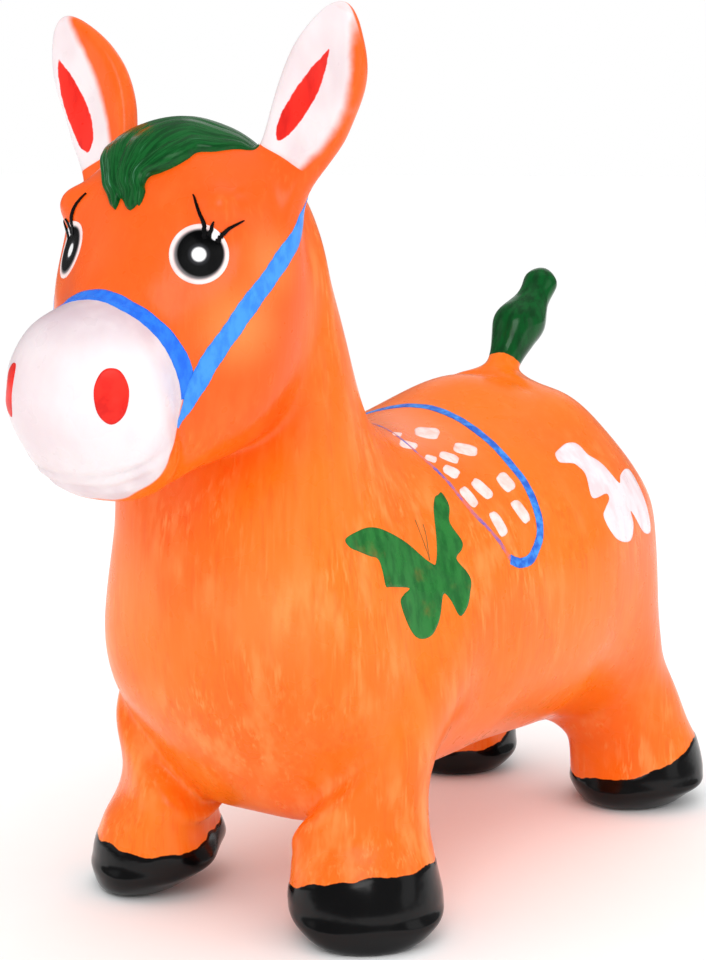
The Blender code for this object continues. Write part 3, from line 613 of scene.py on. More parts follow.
def from_path(points, path):
    """The distance of each point from a path of straight pieces, and how far along the nearest lies."""
    best = np.full(len(points), 9.0)
    along = np.zeros(len(points))
    travelled = 0.0
    for a, b in zip(path, path[1:]):
        a = np.array(a)
        run = np.array(b) - a
        length = np.linalg.norm(run)
        way = np.clip(((points - a) @ run) / (length * length), 0, 1)
        away = np.linalg.norm(points - a - way[:, None] * run, axis=1)
        nearer = away < best
        best[nearer] = away[nearer]
        along[nearer] = travelled + way[nearer] * length
        travelled += length
    return best, along / travelled


GROOVE_FADE = 0.12  # share of its length over which a groove fades at each end
LIP_SHARE = 0.35  # height of its lips, of its depth
LIP_PLACE = 2.1  # half widths from its middle to its lips


def groove(points, path, half_width, depth):
    """A rounded groove with soft lips along a path, fading at its ends."""
    away, along = from_path(points, path)
    ends = np.clip(np.minimum(along, 1 - along) / GROOVE_FADE, 0, 1)
    x = away / half_width
    return ends * depth * (LIP_SHARE * np.exp(-((x - LIP_PLACE) ** 2)) - np.exp(-x * x))


def mm(rows):
    """Rows given in millimetres, in metres."""
    return tuple(tuple(v / 1000 for v in row) for row in rows)


# Moulded swellings and hollows, in millimetres: place on the left, radius and height
SWELLINGS = mm((
    (54.5, -270.5, 432, 11.5, 6.4),  # brow
    (64, -256, 378, 26, 1.6),  # cheek
    (48.9, -282.5, 406.8, 16.5, 0.8),  # eyeball
    (39.2, -341.4, 335.5, 8, -2.2),  # nostril
    (45, -295, 315, 10, -0.8),  # corner of the mouth
    (56, -205, 456, 10, 1),  # behind the root of the ear
))
# Creases of the closed mouth and of the chin, from the left corner to the middle
MOUTH = mm((
    (48, -308.5, 304), (45.6, -315.2, 298.4), (38, -322.7, 293.3), (25.8, -329, 289.2),
    (10.7, -332.1, 287.7), (0, -333, 287.4),
))
CHIN = mm((
    (43, -310, 293), (38.6, -315.5, 288.2), (26.2, -321.7, 283), (7.7, -325.2, 281.2),
    (0, -325.6, 281.1),
))


def there_and_back(path):
    """A path from the left to the middle, carried on to the right as its mirror image."""
    return list(path) + [(-x, y, z) for x, y, z in path[-2::-1]]


def edges_of(quads):
    """Both directions of every edge of the quads."""
    pairs = np.concatenate([quads[:, (k, (k + 1) % 4)] for k in range(4)])
    return np.unique(np.concatenate([pairs, pairs[:, ::-1]]), axis=0)


SLIDE_SHARE = 0.5  # how freely points slide along the skin while it is evened out
RELAX_PACE = 0.6  # how much of each move is made in one pass


def relax(points, quads, weight, passes, softness):
    """Evens out the skin where the weight is above zero.

    Hollows fill, and ridges sink by a share of that.
    """
    near_edges = edges_of(quads)
    near_edges = near_edges[weight[near_edges[:, 0]] > 0]
    moving = np.flatnonzero(weight > 0)
    count = np.bincount(near_edges[:, 0], minlength=len(points))[moving, None]
    share = weight[moving, None]
    points = points.copy()
    for i in range(passes):
        if i % 8 == 0:
            normals = normals_of(points, quads)[moving]
        beside = points[near_edges[:, 1]]
        total = gathered(near_edges[:, 0], beside, len(points))
        step = total[moving] / count - points[moving]
        out = np.sum(step * normals, axis=1, keepdims=True)
        along = step - normals * out
        push = np.where(out > 0, out, out * softness)
        points[moving] += (normals * push + along * SLIDE_SHARE) * share * RELAX_PACE
    return points


def soft_step(value, low, high):
    """Zero up to the low value, one from the high one on, and smooth between."""
    share = np.clip((value - low) / (high - low), 0, 1)
    return share * share * (3 - 2 * share)


def hooves(points):
    """The middle of each hoof, and how far each point lies from the upright line through it."""
    for side in (1, -1):
        for end in (1, -1):
            middle = hoof_place(side, end)
            yield middle, np.hypot(points[:, 0] - middle.x, points[:, 1] - middle.y)


# Where the creases at the roots of the legs fill: the heights over which that sets in and ends, and
# the distances from the middle of a hoof over which it ends
CREASE_LOW = (0.046, 0.062)
CREASE_HIGH = (0.165, 0.225)
CREASE_REACH = (0.080, 0.125)


def leg_root_weight(points):
    """One round the roots of the legs, where the blown skin fills its creases."""
    weight = np.zeros(len(points))
    height = soft_step(points[:, 2], *CREASE_LOW) * (1 - soft_step(points[:, 2], *CREASE_HIGH))
    for _, away in hooves(points):
        weight = np.maximum(weight, height * (1 - soft_step(away, *CREASE_REACH)))
    return weight


# Distance along the tail, and its radius there as a share of the plain club's
TAIL_WAIST = (
    (-0.016, 1.0), (-0.004, 0.80), (0.010, 0.74), (0.024, 0.82), (0.040, 1.00), (0.058, 0.98),
    (0.070, 1.14), (0.078, 1.18), (0.084, 0.95), (0.090, 0.80),
)
TAIL_ZONE_BASE = 0.28  # the tail lies above this
TAIL_ZONE_REACH = 0.075  # within this of its root, seen from above
TAIL_ZONE_SPAN = 0.105  # and within this of it in any direction
TAIL_CORE = (0.022, 0.040)  # distances from its middle line over which the waist ends
TAIL_DOME = 0.0050  # how much the tip is rounded out
TAIL_DOME_WAY = (0.070, 0.082)  # distances along the tail over which that sets in
TAIL_DOME_RADIUS = 0.0125


def pinch_tail(points):
    """Draws in the foot of the tail and rounds out its tip."""
    along, back, root = (np.array(v) for v in (TAIL_ALONG, tail_point(0, 0, 1)[1], TAIL_ROOT))
    up = (points - root) @ along
    here = (up > TAIL_WAIST[0][0]) & (points[:, 2] > TAIL_ZONE_BASE)
    here &= np.hypot(points[:, 0], points[:, 1] - root[1]) < TAIL_ZONE_REACH
    here &= np.linalg.norm(points - root, axis=1) < TAIL_ZONE_SPAN
    up = up[here]
    ways, _, bows, _ = zip(*TAIL_SHARES)
    bow = np.interp(up / TAIL_LENGTH, ways, bows) * TAIL_LENGTH
    centre = root + up[:, None] * along + bow[:, None] * back
    out = points[here] - centre
    radius = np.linalg.norm(out, axis=1)
    waist = smooth_path([(way, radius_share, 0) for way, radius_share in TAIL_WAIST], 5)
    share = np.interp(up, *zip(*[p[:2] for p in waist]))
    near_axis = 1 - soft_step(radius, *TAIL_CORE)
    dome = TAIL_DOME * soft_step(up, *TAIL_DOME_WAY)
    dome *= np.clip(1 - (radius / TAIL_DOME_RADIUS) ** 2, 0, 1)
    points = points.copy()
    points[here] = centre + out * (1 + (share - 1) * near_axis)[:, None] + dome[:, None] * along
    return points


# Broad swellings of the blown skin, in millimetres: place on the left, radius, and how far it moves
# out, back and up
BULGES = mm((
    (95, -176, 135, 42, 4.8, -3.6, 0),  # side of the chest
    (84, -210, 160, 44, 4.4, -3.2, 0),  # front of the chest's side
    (91, -200, 70, 30, -3.4, 4.4, 0),  # front of the leg
    (100, -184, 124, 24, 2.6, -1.8, 0),  # root of the leg
    (104, -190, 72, 28, -3.6, 3.4, 0),  # shin
    (64, -228, 232, 40, -3, 4.2, 0),  # throat
    (54, -198, 60, 22, -4.2, -3, 0),  # inner side of the leg
    (20, -183, 74.5, 34, 0, -1, -4),  # breast between the legs
    (36, -176, 62, 22, 0, -1, -3.6),  # where leg and breast meet
    (37, -150, 32, 33, 10.4, -5, 0),  # heel of the front hoof
    (52, 128, 58, 24, -4.2, -3.4, 0),  # front of the rear leg
    (48, 130, 52, 30, -6.2, -4.6, 0),  # inner side of the rear leg
    (110, 125, 170, 40, 2.6, 1.8, 0),  # thigh
    (114, 156, 102, 24, -3, -2.2, 0),  # hock
    (100, 110, 250, 50, -1.4, -0.4, -0.8),  # rump
    (0, 50, 300, 48, 0, 0, 4.4),  # back
    (48, 98, 294, 36, 0.8, 0, 4.6),  # hips
    (74, -214, 428, 24, -3.6, -2, 0),  # nape beside the ear
    (50, -283, 402, 26, -1.8, 3.6, 0),  # cheek below the eye
    (53, -280, 412, 18, -1.2, 2.6, 0),  # socket of the eye
    (56, -272, 434, 13, 2.6, -1.8, 0),  # brow
    (60, -212, 505, 20, 1.8, -0.6, -0.6),  # inner edge of the ear
    (98, -224, 534, 18, 1, 0, 1.8),  # tip of the ear
    (108, -218, 479, 18, -2.6, -0.4, 1),  # outer edge of the ear
    (88, -217, 456, 16, 2.8, 0, -2.8),  # outer root of the ear
))
MIRRORS = np.array(((1, 1, 1), (-1, 1, 1)))  # the left side as it is, and turned over to the right
SOLE_LIFT = 0.0076  # of the rounded edge of each sole
SOLE_LIFT_TOP = (0.002, 0.024)  # heights over which the lift ends
SOLE_LIFT_START = (0.026, 0.048)  # distances from the middle over which it sets in
SOLE_REACH = 0.07  # a hoof lies within this of its middle
HEEL_SHARE = 0.4  # how much more the heel is lifted, and the toe less
HEEL_REACH = 0.045  # from the middle of the hoof back to its heel
WELT_HEIGHT = 0.0145  # of the moulded welt round each hoof
WELT_RISE = 0.0004
WELT_SPREAD = 0.0034
TROUGH_RISE = 0.0065  # from the welt up to the trough above it
TROUGH_SPREAD = 0.0032
TROUGH_SHARE = 0.6  # of the welt's rise
HOOF_STEP = 0.0005  # how far the edge of each hoof stands out of the leg
HOOF_STEP_WIDTH = 0.0015
HOOF_TOP = 0.06  # the paint of the hooves lies below this
HEAD_ZONE = -0.24  # the mouth and the chin lie in front of this
MOUTH_CREASE = (0.0017, 0.0013)  # half width and depth
CHIN_CREASE = (0.0022, 0.0010)


def swell(points):
    """Moves the skin at the broad swellings, on both sides, and rounds the edge of each sole."""
    moved = points.copy()
    for row in BULGES:
        for mirror in MIRRORS:
            moved += near(points, row[:3] * mirror, row[3])[:, None] * (row[4:] * mirror)
    low = 1 - soft_step(points[:, 2], *SOLE_LIFT_TOP)
    for middle, away in hooves(points):
        heel = 1 + HEEL_SHARE * np.clip((points[:, 1] - middle.y) / HEEL_REACH, -1, 1)
        edge = soft_step(away, *SOLE_LIFT_START) * (away < SOLE_REACH)
        moved[:, 2] += SOLE_LIFT * heel * low * edge
    return moved


def mould(points, quads):
    """Raises and sinks the moulded details, and flattens the soles on the floor."""
    points = swell(pinch_tail(points))
    normals = normals_of(points, quads)
    height = np.zeros(len(points))
    for x, y, z, radius, rise in SWELLINGS:
        for place in (x, y, z) * MIRRORS:
            height += rise * near(points, place, radius)
    head = points[:, 1] < HEAD_ZONE
    height[head] += groove(points[head], there_and_back(MOUTH), *MOUTH_CREASE)
    height[head] += groove(points[head], there_and_back(CHIN), *CHIN_CREASE)
    # each hoof's edge, and the welt with the shallow trough above it
    step = np.clip(hoof_field(points) / HOOF_STEP_WIDTH, 0, 1)
    height += HOOF_STEP * step * (points[:, 2] < HOOF_TOP)
    up = points[:, 2] - WELT_HEIGHT
    ridge = np.exp(-((up / WELT_SPREAD) ** 2))
    trough = np.exp(-(((up - TROUGH_RISE) / TROUGH_SPREAD) ** 2))
    height += WELT_RISE * (ridge - TROUGH_SHARE * trough)
    moved = points + normals * height[:, None]
    low = moved[:, 2]
    pressed = (low + np.sqrt(low * low + FLOOR_ROUNDING**2)) / 2 - FLOOR_ROUNDING * 0.05
    moved[:, 2] = np.where(low < 0.02, np.maximum(pressed, 0), low)
    return moved


# Colour fields

# Height of the hoof's paint edge at its middle, its rise outwards and its rise backwards
HOOF_EDGES = {
    ("front", 1): (0.0395, 0.20, -0.02),
    ("front", -1): (0.0360, 0.02, 0.10),
    ("rear", 1): (0.0368, 0.17, 0.30),
    ("rear", -1): (0.0368, 0.17, 0.30),
}


def hoof_field(points):
    """How far below the paint edge of its hoof each point lies."""
    field = np.full(len(points), -1.0)
    for (end_name, side), (rise, outward, backward) in HOOF_EDGES.items():
        end = -1 if end_name == "front" else 1
        middle = hoof_place(side, end)
        out = (points[:, 0] - middle.x) * side
        back = points[:, 1] - middle.y
        here = (points[:, 0] * side > 0) & (points[:, 1] * end > 0)
        # the brushed edge isn't quite even
        angle = np.arctan2(back, out)
        wobble = 0.0010 * np.sin(3 * angle + end) + 0.0007 * np.sin(7 * angle + side)
        wobble += 0.0004 * np.sin(13 * angle)
        edge = rise + outward * out + backward * back + wobble
        field[here] = (edge - points[:, 2])[here]
    return field


# Edge of the white muzzle, in millimetres: height and how far back it reaches there
MUZZLE_EDGE = mm((
    (262, -316), (277.5, -312.5), (282, -311), (289, -308), (300, -305), (306.5, -301), (313.5, -296.5),
    (320.5, -294.5), (335, -292.5), (355, -298.5), (371.5, -307.5), (383, -313), (395, -320),
))


MUZZLE_EDGE_SLANT = 0.86  # the distance from the edge, of the depth in front of it


def muzzle_field(points):
    """How far in front of the muzzle's edge, which wavers a little, each point lies."""
    edge = np.interp(points[:, 2], *zip(*MUZZLE_EDGE))
    return (edge - points[:, 1]) * MUZZLE_EDGE_SLANT - 0.0006 * np.sin(points[:, 0] * 260)


# The red leaf in the left ear and in the right one, in millimetres: way up the ear, inner edge and
# outer edge
LEAF = {
    1: mm((
        (12, -8.8, -7.8), (16, -12.2, -4.5), (26, -14, -1.2), (40, -12, 1.4), (52, -8.4, 2),
        (62, -3.8, 1.6), (69, 0.2, 0.8),
    )),
    -1: mm((
        (14, 10, 11.8), (20, 6, 16.5), (31, 4.2, 19.2), (42, 5, 20.8), (55, 7, 20), (66, 9.2, 16.5),
        (74, 11.5, 12.5),
    )),
}
# The white face of each ear, the same way
FACE = {
    1: mm((
        (0, -45, 12), (12, -45, 19), (41, -45, 24.5), (60, -45, 21.5), (75, -45, 17), (96, -45, 10.5),
    )),
    -1: mm(((0, -8.5, 45), (41, -9.5, 45), (96, -8, 45))),
}


def inside_leaf(up, out, rows):
    """How far inside an outline each point of an ear lies."""
    ways, inner, outer = zip(*smooth_path(rows, 6))
    field = np.minimum(out - np.interp(up, ways, inner), np.interp(up, ways, outer) - out)
    return np.minimum(field, np.minimum(up - ways[0], ways[-1] - up))


FACE_START = 0.0015  # from the root up to the white face
FACE_SPAN = (0.004, 0.092)  # beyond this its outline runs straight on
BACK_FACING = 0.15  # a normal that points back by more than this is on the ear's back
OUTSIDE = -0.01


def ear_fields(points, normals, side):
    """How far inside the white face and the red leaf of an ear each point lies."""
    up, out = ((points - np.array(ear_root(side))) @ np.array(axis) for axis in ear_axes(side))
    white = inside_leaf(np.clip(up, *FACE_SPAN), out, FACE[side])
    white = np.minimum(white, (up - FACE_START) * 0.8)
    # the white thins out where the surface turns back
    white = np.minimum(white, -normals[:, 1] * 0.02 + 0.001)
    behind = normals[:, 1] > BACK_FACING
    fields = (white, inside_leaf(up, out, LEAF[side]))
    return [np.where(behind, OUTSIDE, field) for field in fields]


TAIL_GREEN_START = 0.0070  # from the root up to the green


def tail_field(points):
    """How far up the green of the tail, whose edge wavers a little, each point lies."""
    up = (points - np.array(TAIL_ROOT)) @ np.array(TAIL_ALONG)
    return up - TAIL_GREEN_START - 0.0008 * np.sin(points[:, 0] * 300)


# Node materials

def linear(*shades):
    """A colour given as seen on a screen, from 0 to 255, as linear light."""
    shares = [shade / 255 for shade in shades]
    return tuple(s / 12.92 if s < 0.0404 else ((s + 0.055) / 1.055) ** 2.4 for s in shares)


class Nodes:
    """A node tree, with short calls for the nodes that materials and sky need."""

    def __init__(self, owner):
        owner.use_nodes = True
        self.tree = owner.node_tree

    def node(self, kind, *inputs, **settings):
        made = self.tree.nodes.new("ShaderNode" + kind)
        for key, value in settings.items():
            setattr(made, key, value)
        for socket, value in inputs:
            self.wire(value, made.inputs[socket])
        return made

    def wire(self, value, socket):
        if isinstance(value, bpy.types.NodeSocket):
            self.tree.links.new(value, socket)
        elif isinstance(value, (tuple, list)) and len(value) == 3 and socket.type == "RGBA":
            socket.default_value = (*value, 1)
        else:
            socket.default_value = value

    def math(self, operation, a, b=0.0):
        return self.node("Math", (0, a), (1, b), operation=operation).outputs[0]

    def times(self, a, b):
        return self.math("MULTIPLY", a, b)

    def plus(self, a, b):
        return self.math("ADD", a, b)

    def minus(self, a, b):
        return self.math("SUBTRACT", a, b)


class Material(Nodes):
    """A node material whose colours and relief stay with the surface as it moves."""

    def __init__(self, name):
        self.material = bpy.data.materials.new(name)
        super().__init__(self.material)
        self.shader = self.tree.nodes["Principled BSDF"]

    def field(self, name):
        return self.node("Attribute", attribute_name=name).outputs["Fac"]

    def place(self, scale=(1, 1, 1)):
        """The place on the object at rest, stretched along each axis."""
        rest = self.node("Attribute", attribute_name="rest").outputs["Vector"]
        return self.node("VectorMath", (0, rest), (1, scale), operation="MULTIPLY").outputs["Vector"]

    def axis(self, name, vector=None):
        """One axis of a vector, or else of the place on the object at rest."""
        return self.node("SeparateXYZ", ("Vector", vector or self.place())).outputs[name]

    def noise(self, vector, scale, detail, roughness=0.5):
        inputs = (("Vector", vector), ("Scale", scale), ("Detail", detail), ("Roughness", roughness))
        return self.node("TexNoise", *inputs).outputs["Fac"]

    def grain(self, scale, detail, roughness=0.5, stretch=(1, 1, 1)):
        """Noise that stays with the surface as it moves."""
        return self.noise(self.place(stretch), scale, detail, roughness)

    def frayed(self, name, noise, amount):
        """A field whose edge wavers with a noise."""
        return self.plus(self.times(self.minus(noise, 0.5), amount), self.field(name))

    def ramp(self, value, low, high, out_low=0.0, out_high=1.0):
        """A smooth step between two values."""
        names = ("Value", "From Min", "From Max", "To Min", "To Max")
        inputs = zip(names, (value, low, high, out_low, out_high))
        return self.node("MapRange", *inputs, interpolation_type="SMOOTHSTEP").outputs["Result"]

    def mix(self, factor, a, b):
        made = self.node("Mix", data_type="RGBA")
        self.wire(factor, made.inputs[0])
        self.wire(a, made.inputs[6])
        self.wire(b, made.inputs[7])
        return made.outputs[2]

    def finish(self, colour, roughness, height=None, distance=0.0, strength=0.0, shine=0.28, glow=0.0):
        """Wires the shader: relief of some distance and strength, gloss, and glow of light inside."""
        self.wire(colour, self.shader.inputs["Base Color"])
        self.wire(roughness, self.shader.inputs["Roughness"])
        self.shader.inputs["Specular IOR Level"].default_value = shine
        if glow:
            self.shader.inputs["Subsurface Weight"].default_value = glow
            self.shader.inputs["Subsurface Radius"].default_value = GLOW_REACH
        if height is not None:
            bump = self.node("Bump", ("Height", height), ("Strength", strength), ("Distance", distance))
            self.tree.links.new(bump.outputs["Normal"], self.shader.inputs["Normal"])
        return self.material


GLOW_REACH = (0.010, 0.004, 0.002)  # of red, green and blue light in the vinyl
ORANGE = linear(250, 119, 22)
ORANGE_DEEP = linear(248, 98, 12)
# the colour of the painted highlights and painted sheen
ORANGE_HIGHLIGHT = linear(255, 158, 84)
ORANGE_FACE = linear(247, 90, 14)
WHITE = linear(238, 229, 231)
WHITE_SHADE = linear(226, 204, 208)
WHITE_SHADOW = linear(206, 184, 192)
BLACK = linear(6, 6, 7)
BLACK_WORN = linear(18, 17, 19)
RED = linear(244, 40, 26)
RED_DEEP = linear(214, 24, 16)
AZURE = linear(66, 152, 244)
AZURE_DEEP = linear(50, 132, 236)
NOSE_BLUE = linear(40, 124, 238)
NOSE_BLUE_DEEP = linear(26, 104, 226)
SADDLE_BLUE = linear(40, 98, 206)
MAUVE = linear(206, 112, 122)
GREEN = linear(10, 92, 36)
GREEN_DEEP = linear(4, 64, 24)
GREEN_SHEEN = linear(96, 150, 122)
FLY_GREEN = linear(40, 122, 52)
FLY_GREEN_DEEP = linear(24, 100, 40)
FLY_WHITE = linear(244, 232, 236)
FLY_WHITE_SHADE = linear(238, 212, 216)
FEELER_BROWN = linear(134, 104, 48)
FEELER_PALE = linear(176, 106, 44)
DAB_PINK = linear(252, 226, 222)
DAB_PINK_DEEP = linear(250, 206, 198)
CLEAR_VINYL = linear(224, 220, 206)
CLEAR_VINYL_DEEP = linear(206, 200, 184)
TAIL_GREEN = linear(4, 82, 32)
TAIL_GREEN_DEEP = linear(2, 60, 22)

# Painted highlights, pale patches where light falls on face and chest: middle on the left, reach,
# strength
HIGHLIGHT_PATCHES = (
    ((0.066, -0.270, 0.368), 0.034, 0.55),
    ((0.074, -0.250, 0.400), 0.028, 0.40),
    ((0.050, -0.215, 0.200), 0.050, 0.35),
)


def vinyl_orange(m):
    """Colour, roughness and relief of the bare orange vinyl, with its fine upright hair lines, which
    carry painted shade in their grooves and painted sheen on their ridges, and with patches of painted
    highlight.
    """
    drift = m.grain(7.0, 2.0)
    hair = m.grain(420.0, 2.0, 0.6, stretch=(1, 1, 0.085))
    lock = m.grain(190.0, 2.0, stretch=(1, 1, 0.12))
    tuft = m.grain(80.0, 2.0, stretch=(1, 1, 0.20))
    brush = m.grain(64.0, 3.0, 0.6, stretch=(1, 1, 0.26))
    patch = m.ramp(m.grain(13.0, 2.0), 0.38, 0.62)
    # the combed lines fade where the skin faces up or down
    tilt = m.axis("Z", m.node("NewGeometry").outputs["Normal"])
    upright = m.ramp(m.math("ABSOLUTE", tilt), 0.45, 0.85, 1.0, 0.2)
    face = m.times(m.ramp(m.axis("Y"), SHIFT - 0.18, SHIFT - 0.235), m.ramp(m.axis("Z"), 0.28, 0.32))
    colour = m.mix(m.ramp(drift, 0.35, 0.7, 0.0, 0.6), ORANGE, ORANGE_DEEP)
    # painted shade: darker in the grooves of the hair lines
    dark = m.times(m.ramp(hair, 0.52, 0.34), m.ramp(tuft, 0.62, 0.40))
    colour = m.mix(m.times(m.times(dark, 0.5), upright), colour, ORANGE_DEEP)
    # painted sheen: paler on the ridges of the hair lines
    fine = m.times(m.ramp(hair, 0.44, 0.68), m.ramp(lock, 0.42, 0.66))
    broad = m.ramp(brush, 0.46, 0.70, 0.0, 0.70)
    light = m.math("MAXIMUM", m.times(fine, 0.80), broad)
    light = m.times(light, m.plus(m.times(patch, 0.66), 0.22))
    light = m.times(light, upright)
    light = m.times(light, m.ramp(face, 0.0, 1.0, 1.0, 0.2))
    colour = m.mix(m.times(face, 0.9), colour, ORANGE_FACE)
    # painted highlights: pale patches on the face and chest
    for (x, y, z), radius, most in HIGHLIGHT_PATCHES:
        for side in (1, -1):
            middle = (side * x, y + SHIFT, z)
            away = m.node("VectorMath", (0, m.place()), (1, middle), operation="DISTANCE")
            colour = m.mix(m.ramp(away.outputs["Value"], radius, 0.0, 0.0, most), colour, ORANGE_HIGHLIGHT)
    # the painted sheen of the hair lines
    colour = m.mix(light, colour, ORANGE_HIGHLIGHT)
    roughness = m.plus(m.times(m.grain(60.0, 2.0), 0.18), 0.20)
    height = m.plus(m.times(hair, 0.8), m.times(lock, 1.2))
    return colour, roughness, height


def body_material():
    """Orange vinyl with the sprayed white muzzle, greyed by painted shade along its back edge and over
    the bridge of the nose.
    """
    m = Material("orange_vinyl")
    colour, roughness, height = vinyl_orange(m)
    airbrush = m.grain(55.0, 2.0)
    shade = m.ramp(m.grain(22.0, 3.0, stretch=(1, 1, 0.6)), 0.35, 0.75, 0.0, 0.75)
    white = m.mix(shade, WHITE, WHITE_SHADE)
    # painted shade: greyer along the back edge of the white
    edge_shade = m.times(m.ramp(m.field("muzzle"), 0.022, 0.004), m.ramp(airbrush, 0.25, 0.70))
    white = m.mix(m.times(edge_shade, 0.55), white, WHITE_SHADOW)
    # painted shade: the bridge of the nose is greyer
    bridge = m.times(m.ramp(m.axis("Z"), 0.350, 0.380), m.ramp(airbrush, 0.15, 0.60, 0.55, 1.0))
    white = m.mix(bridge, white, WHITE_SHADOW)
    colour = m.mix(m.ramp(m.frayed("muzzle", airbrush, 0.003), -0.0007, 0.0011), colour, white)
    return m.finish(colour, roughness, height, 0.00022, 0.5, glow=0.06)


def leg_material():
    """Orange vinyl with a brushed black hoof."""
    m = Material("orange_vinyl_and_black_hoof")
    colour, roughness, height = vinyl_orange(m)
    brush = m.grain(160.0, 3.0, stretch=(1, 1, 0.35))
    inside = m.ramp(m.frayed("hoof", brush, 0.0024), -0.00035, 0.00035)
    worn = m.ramp(m.grain(34.0, 4.0, 0.6), 0.55, 0.75, 0.0, 0.6)
    black = m.mix(worn, BLACK, BLACK_WORN)
    colour = m.mix(inside, colour, black)
    dents = m.grain(60.0, 2.0)
    height = m.plus(m.times(height, m.minus(1.0, inside)), m.times(m.times(dents, inside), 2.0))
    roughness = m.minus(roughness, m.times(inside, 0.12))
    return m.finish(colour, roughness, height, 0.00028, 0.6, 0.26, 0.05)


def ear_material():
    """Orange vinyl with a sprayed white face and a red leaf in it."""
    m = Material("orange_vinyl_and_ear_paint")
    colour, roughness, height = vinyl_orange(m)
    shade = m.ramp(m.grain(45.0, 2.0, stretch=(1, 1, 0.5)), 0.40, 0.75, 0.0, 0.6)
    white = m.mix(shade, WHITE, WHITE_SHADE)
    inside = m.ramp(m.frayed("ear_white", m.grain(90.0, 3.0), 0.004), -0.0014, 0.0050)
    colour = m.mix(inside, colour, white)
    red = m.mix(m.ramp(m.grain(120.0, 3.0, stretch=(1, 1, 0.3)), 0.4, 0.7), RED, RED_DEEP)
    leaf = m.ramp(m.frayed("ear_red", m.grain(260.0, 2.0), 0.0016), -0.0003, 0.0005)
    colour = m.mix(leaf, colour, red)
    return m.finish(colour, roughness, height, 0.0002, 0.4, glow=0.06)


def tail_material():
    """Orange vinyl with a green club."""
    m = Material("orange_vinyl_and_green_tail")
    colour, roughness, height = vinyl_orange(m)
    brush = m.grain(240.0, 3.0, stretch=(1, 0.6, 0.2))
    green = m.mix(m.ramp(brush, 0.35, 0.7), TAIL_GREEN, TAIL_GREEN_DEEP)
    colour = m.mix(m.ramp(m.frayed("tail_green", brush, 0.002), -0.0004, 0.0004), colour, green)
    height = m.plus(height, m.times(brush, 0.8))
    return m.finish(colour, m.ramp(brush, 0.3, 0.7, 0.12, 0.24), height, 0.00022, 0.4, 0.24)


def paint_material(name, colour, other, scale, along=(1, 1, 1), thin=None, shine=0.25):
    """Brushed or printed paint: streaks of a second colour, and thin places where the orange shows."""
    m = Material(name)
    streak = m.grain(scale, 3.0, 0.6, stretch=along)
    mixed = m.mix(m.ramp(streak, 0.38, 0.68), colour, other)
    if thin:
        low, high, most = thin
        mixed = m.mix(m.ramp(m.grain(48.0, 4.0, 0.6), low, high, 0.0, most), mixed, ORANGE)
    roughness = m.ramp(m.grain(80.0, 2.0), 0.3, 0.7, 0.24, 0.42)
    return m.finish(mixed, roughness, streak, 0.0002, 0.5, shine)


# Pieces

def new_piece(name, points, faces, material, fields=None, normals=None):
    """An object from points about the middle of the hooves, with its fields and its place at rest."""
    mesh = bpy.data.meshes.new(name)
    placed = np.array(points, float) + (0, SHIFT, 0)
    mesh.from_pydata(placed.tolist(), [], [list(map(int, f)) for f in faces])
    mesh.update()
    mesh.shade_smooth()
    rest = mesh.attributes.new("rest", "FLOAT_VECTOR", "POINT")
    rest.data.foreach_set("vector", placed.astype(np.float32).ravel())
    for key, values in (fields or {}).items():
        layer = mesh.attributes.new(key, "FLOAT", "POINT")
        layer.data.foreach_set("value", np.asarray(values, np.float32))
    if normals is not None:
        mesh.normals_split_custom_set_from_vertices(np.asarray(normals).tolist())
    mesh.materials.append(material)
    return add_object(name, mesh)


def skin_piece(name, material, fields):
    """One piece of the skin, which meets its neighbours without a break."""
    kept = SKIN_QUADS[(SKIN_PIECES == PIECES.index(name)) & KEEP]
    used, corners = np.unique(kept, return_inverse=True)
    picked = {key: values[used] for key, values in fields.items()}
    return new_piece(name, SKIN[used], corners.reshape(-1, 4), material, picked, SKIN_NORMALS[used])


AIM_START = 0.050  # how far outside a place an aim at the skin begins
AIM_MISS = 0.045  # how far from the place the skin it meets may lie


def snapped(place, lift, aim=None):
    """The nearest point of the skin, or the one met along an aim, lifted off it."""
    place = Vector(place)
    if aim is not None:
        aim = Vector(aim).normalized()
        found, normal, *_ = SKIN_TREE.ray_cast(place + aim * AIM_START, -aim)
        if found is not None and (found - place).length < AIM_MISS:
            return found + normal * lift
    found, normal, *_ = SKIN_TREE.find_nearest(place)
    return found + normal * lift


def with_skirt(points, faces, rim):
    """Adds an edge that runs down into the skin round a film."""
    base = len(points)
    low = [snapped(points[i], -SINK) for i in rim]
    points = list(points) + low
    count = len(rim)
    for k in range(count):
        n = (k + 1) % count
        faces.append((rim[k], base + k, base + n, rim[n]))
    return points, faces


def mirrored(points, faces):
    """The same patch on the other side."""
    return [Vector((-p[0], p[1], p[2])) for p in points], [tuple(f)[::-1] for f in faces]


def smooth_path(path, steps, closed=False):
    """A smooth curve through points, as evenly many steps between each two."""
    path = [Vector(p) for p in path]
    before, after = (path[-1:], path[:2]) if closed else (path[:1], path[-1:])
    line = before + path + after
    out = [between(*line[i : i + 4], k / steps) for i in range(len(line) - 3) for k in range(steps)]
    return out if closed else out + path[-1:]


def grid(rows, columns):
    """Four-sided faces between rows of points."""
    starts = [i * columns + k for i in range(rows - 1) for k in range(columns - 1)]
    return [(a, a + 1, a + columns + 1, a + columns) for a in starts]


def even_path(path, spacing):
    """The same curve with even spacing."""
    lengths = [0.0]
    for a, b in zip(path, path[1:]):
        lengths.append(lengths[-1] + (b - a).length)
    count = max(int(lengths[-1] / spacing), 2)
    wanted = np.linspace(0, lengths[-1], count + 1)
    columns = [np.interp(wanted, lengths, [p[k] for p in path]) for k in range(3)]
    return [Vector(c) for c in zip(*columns)]


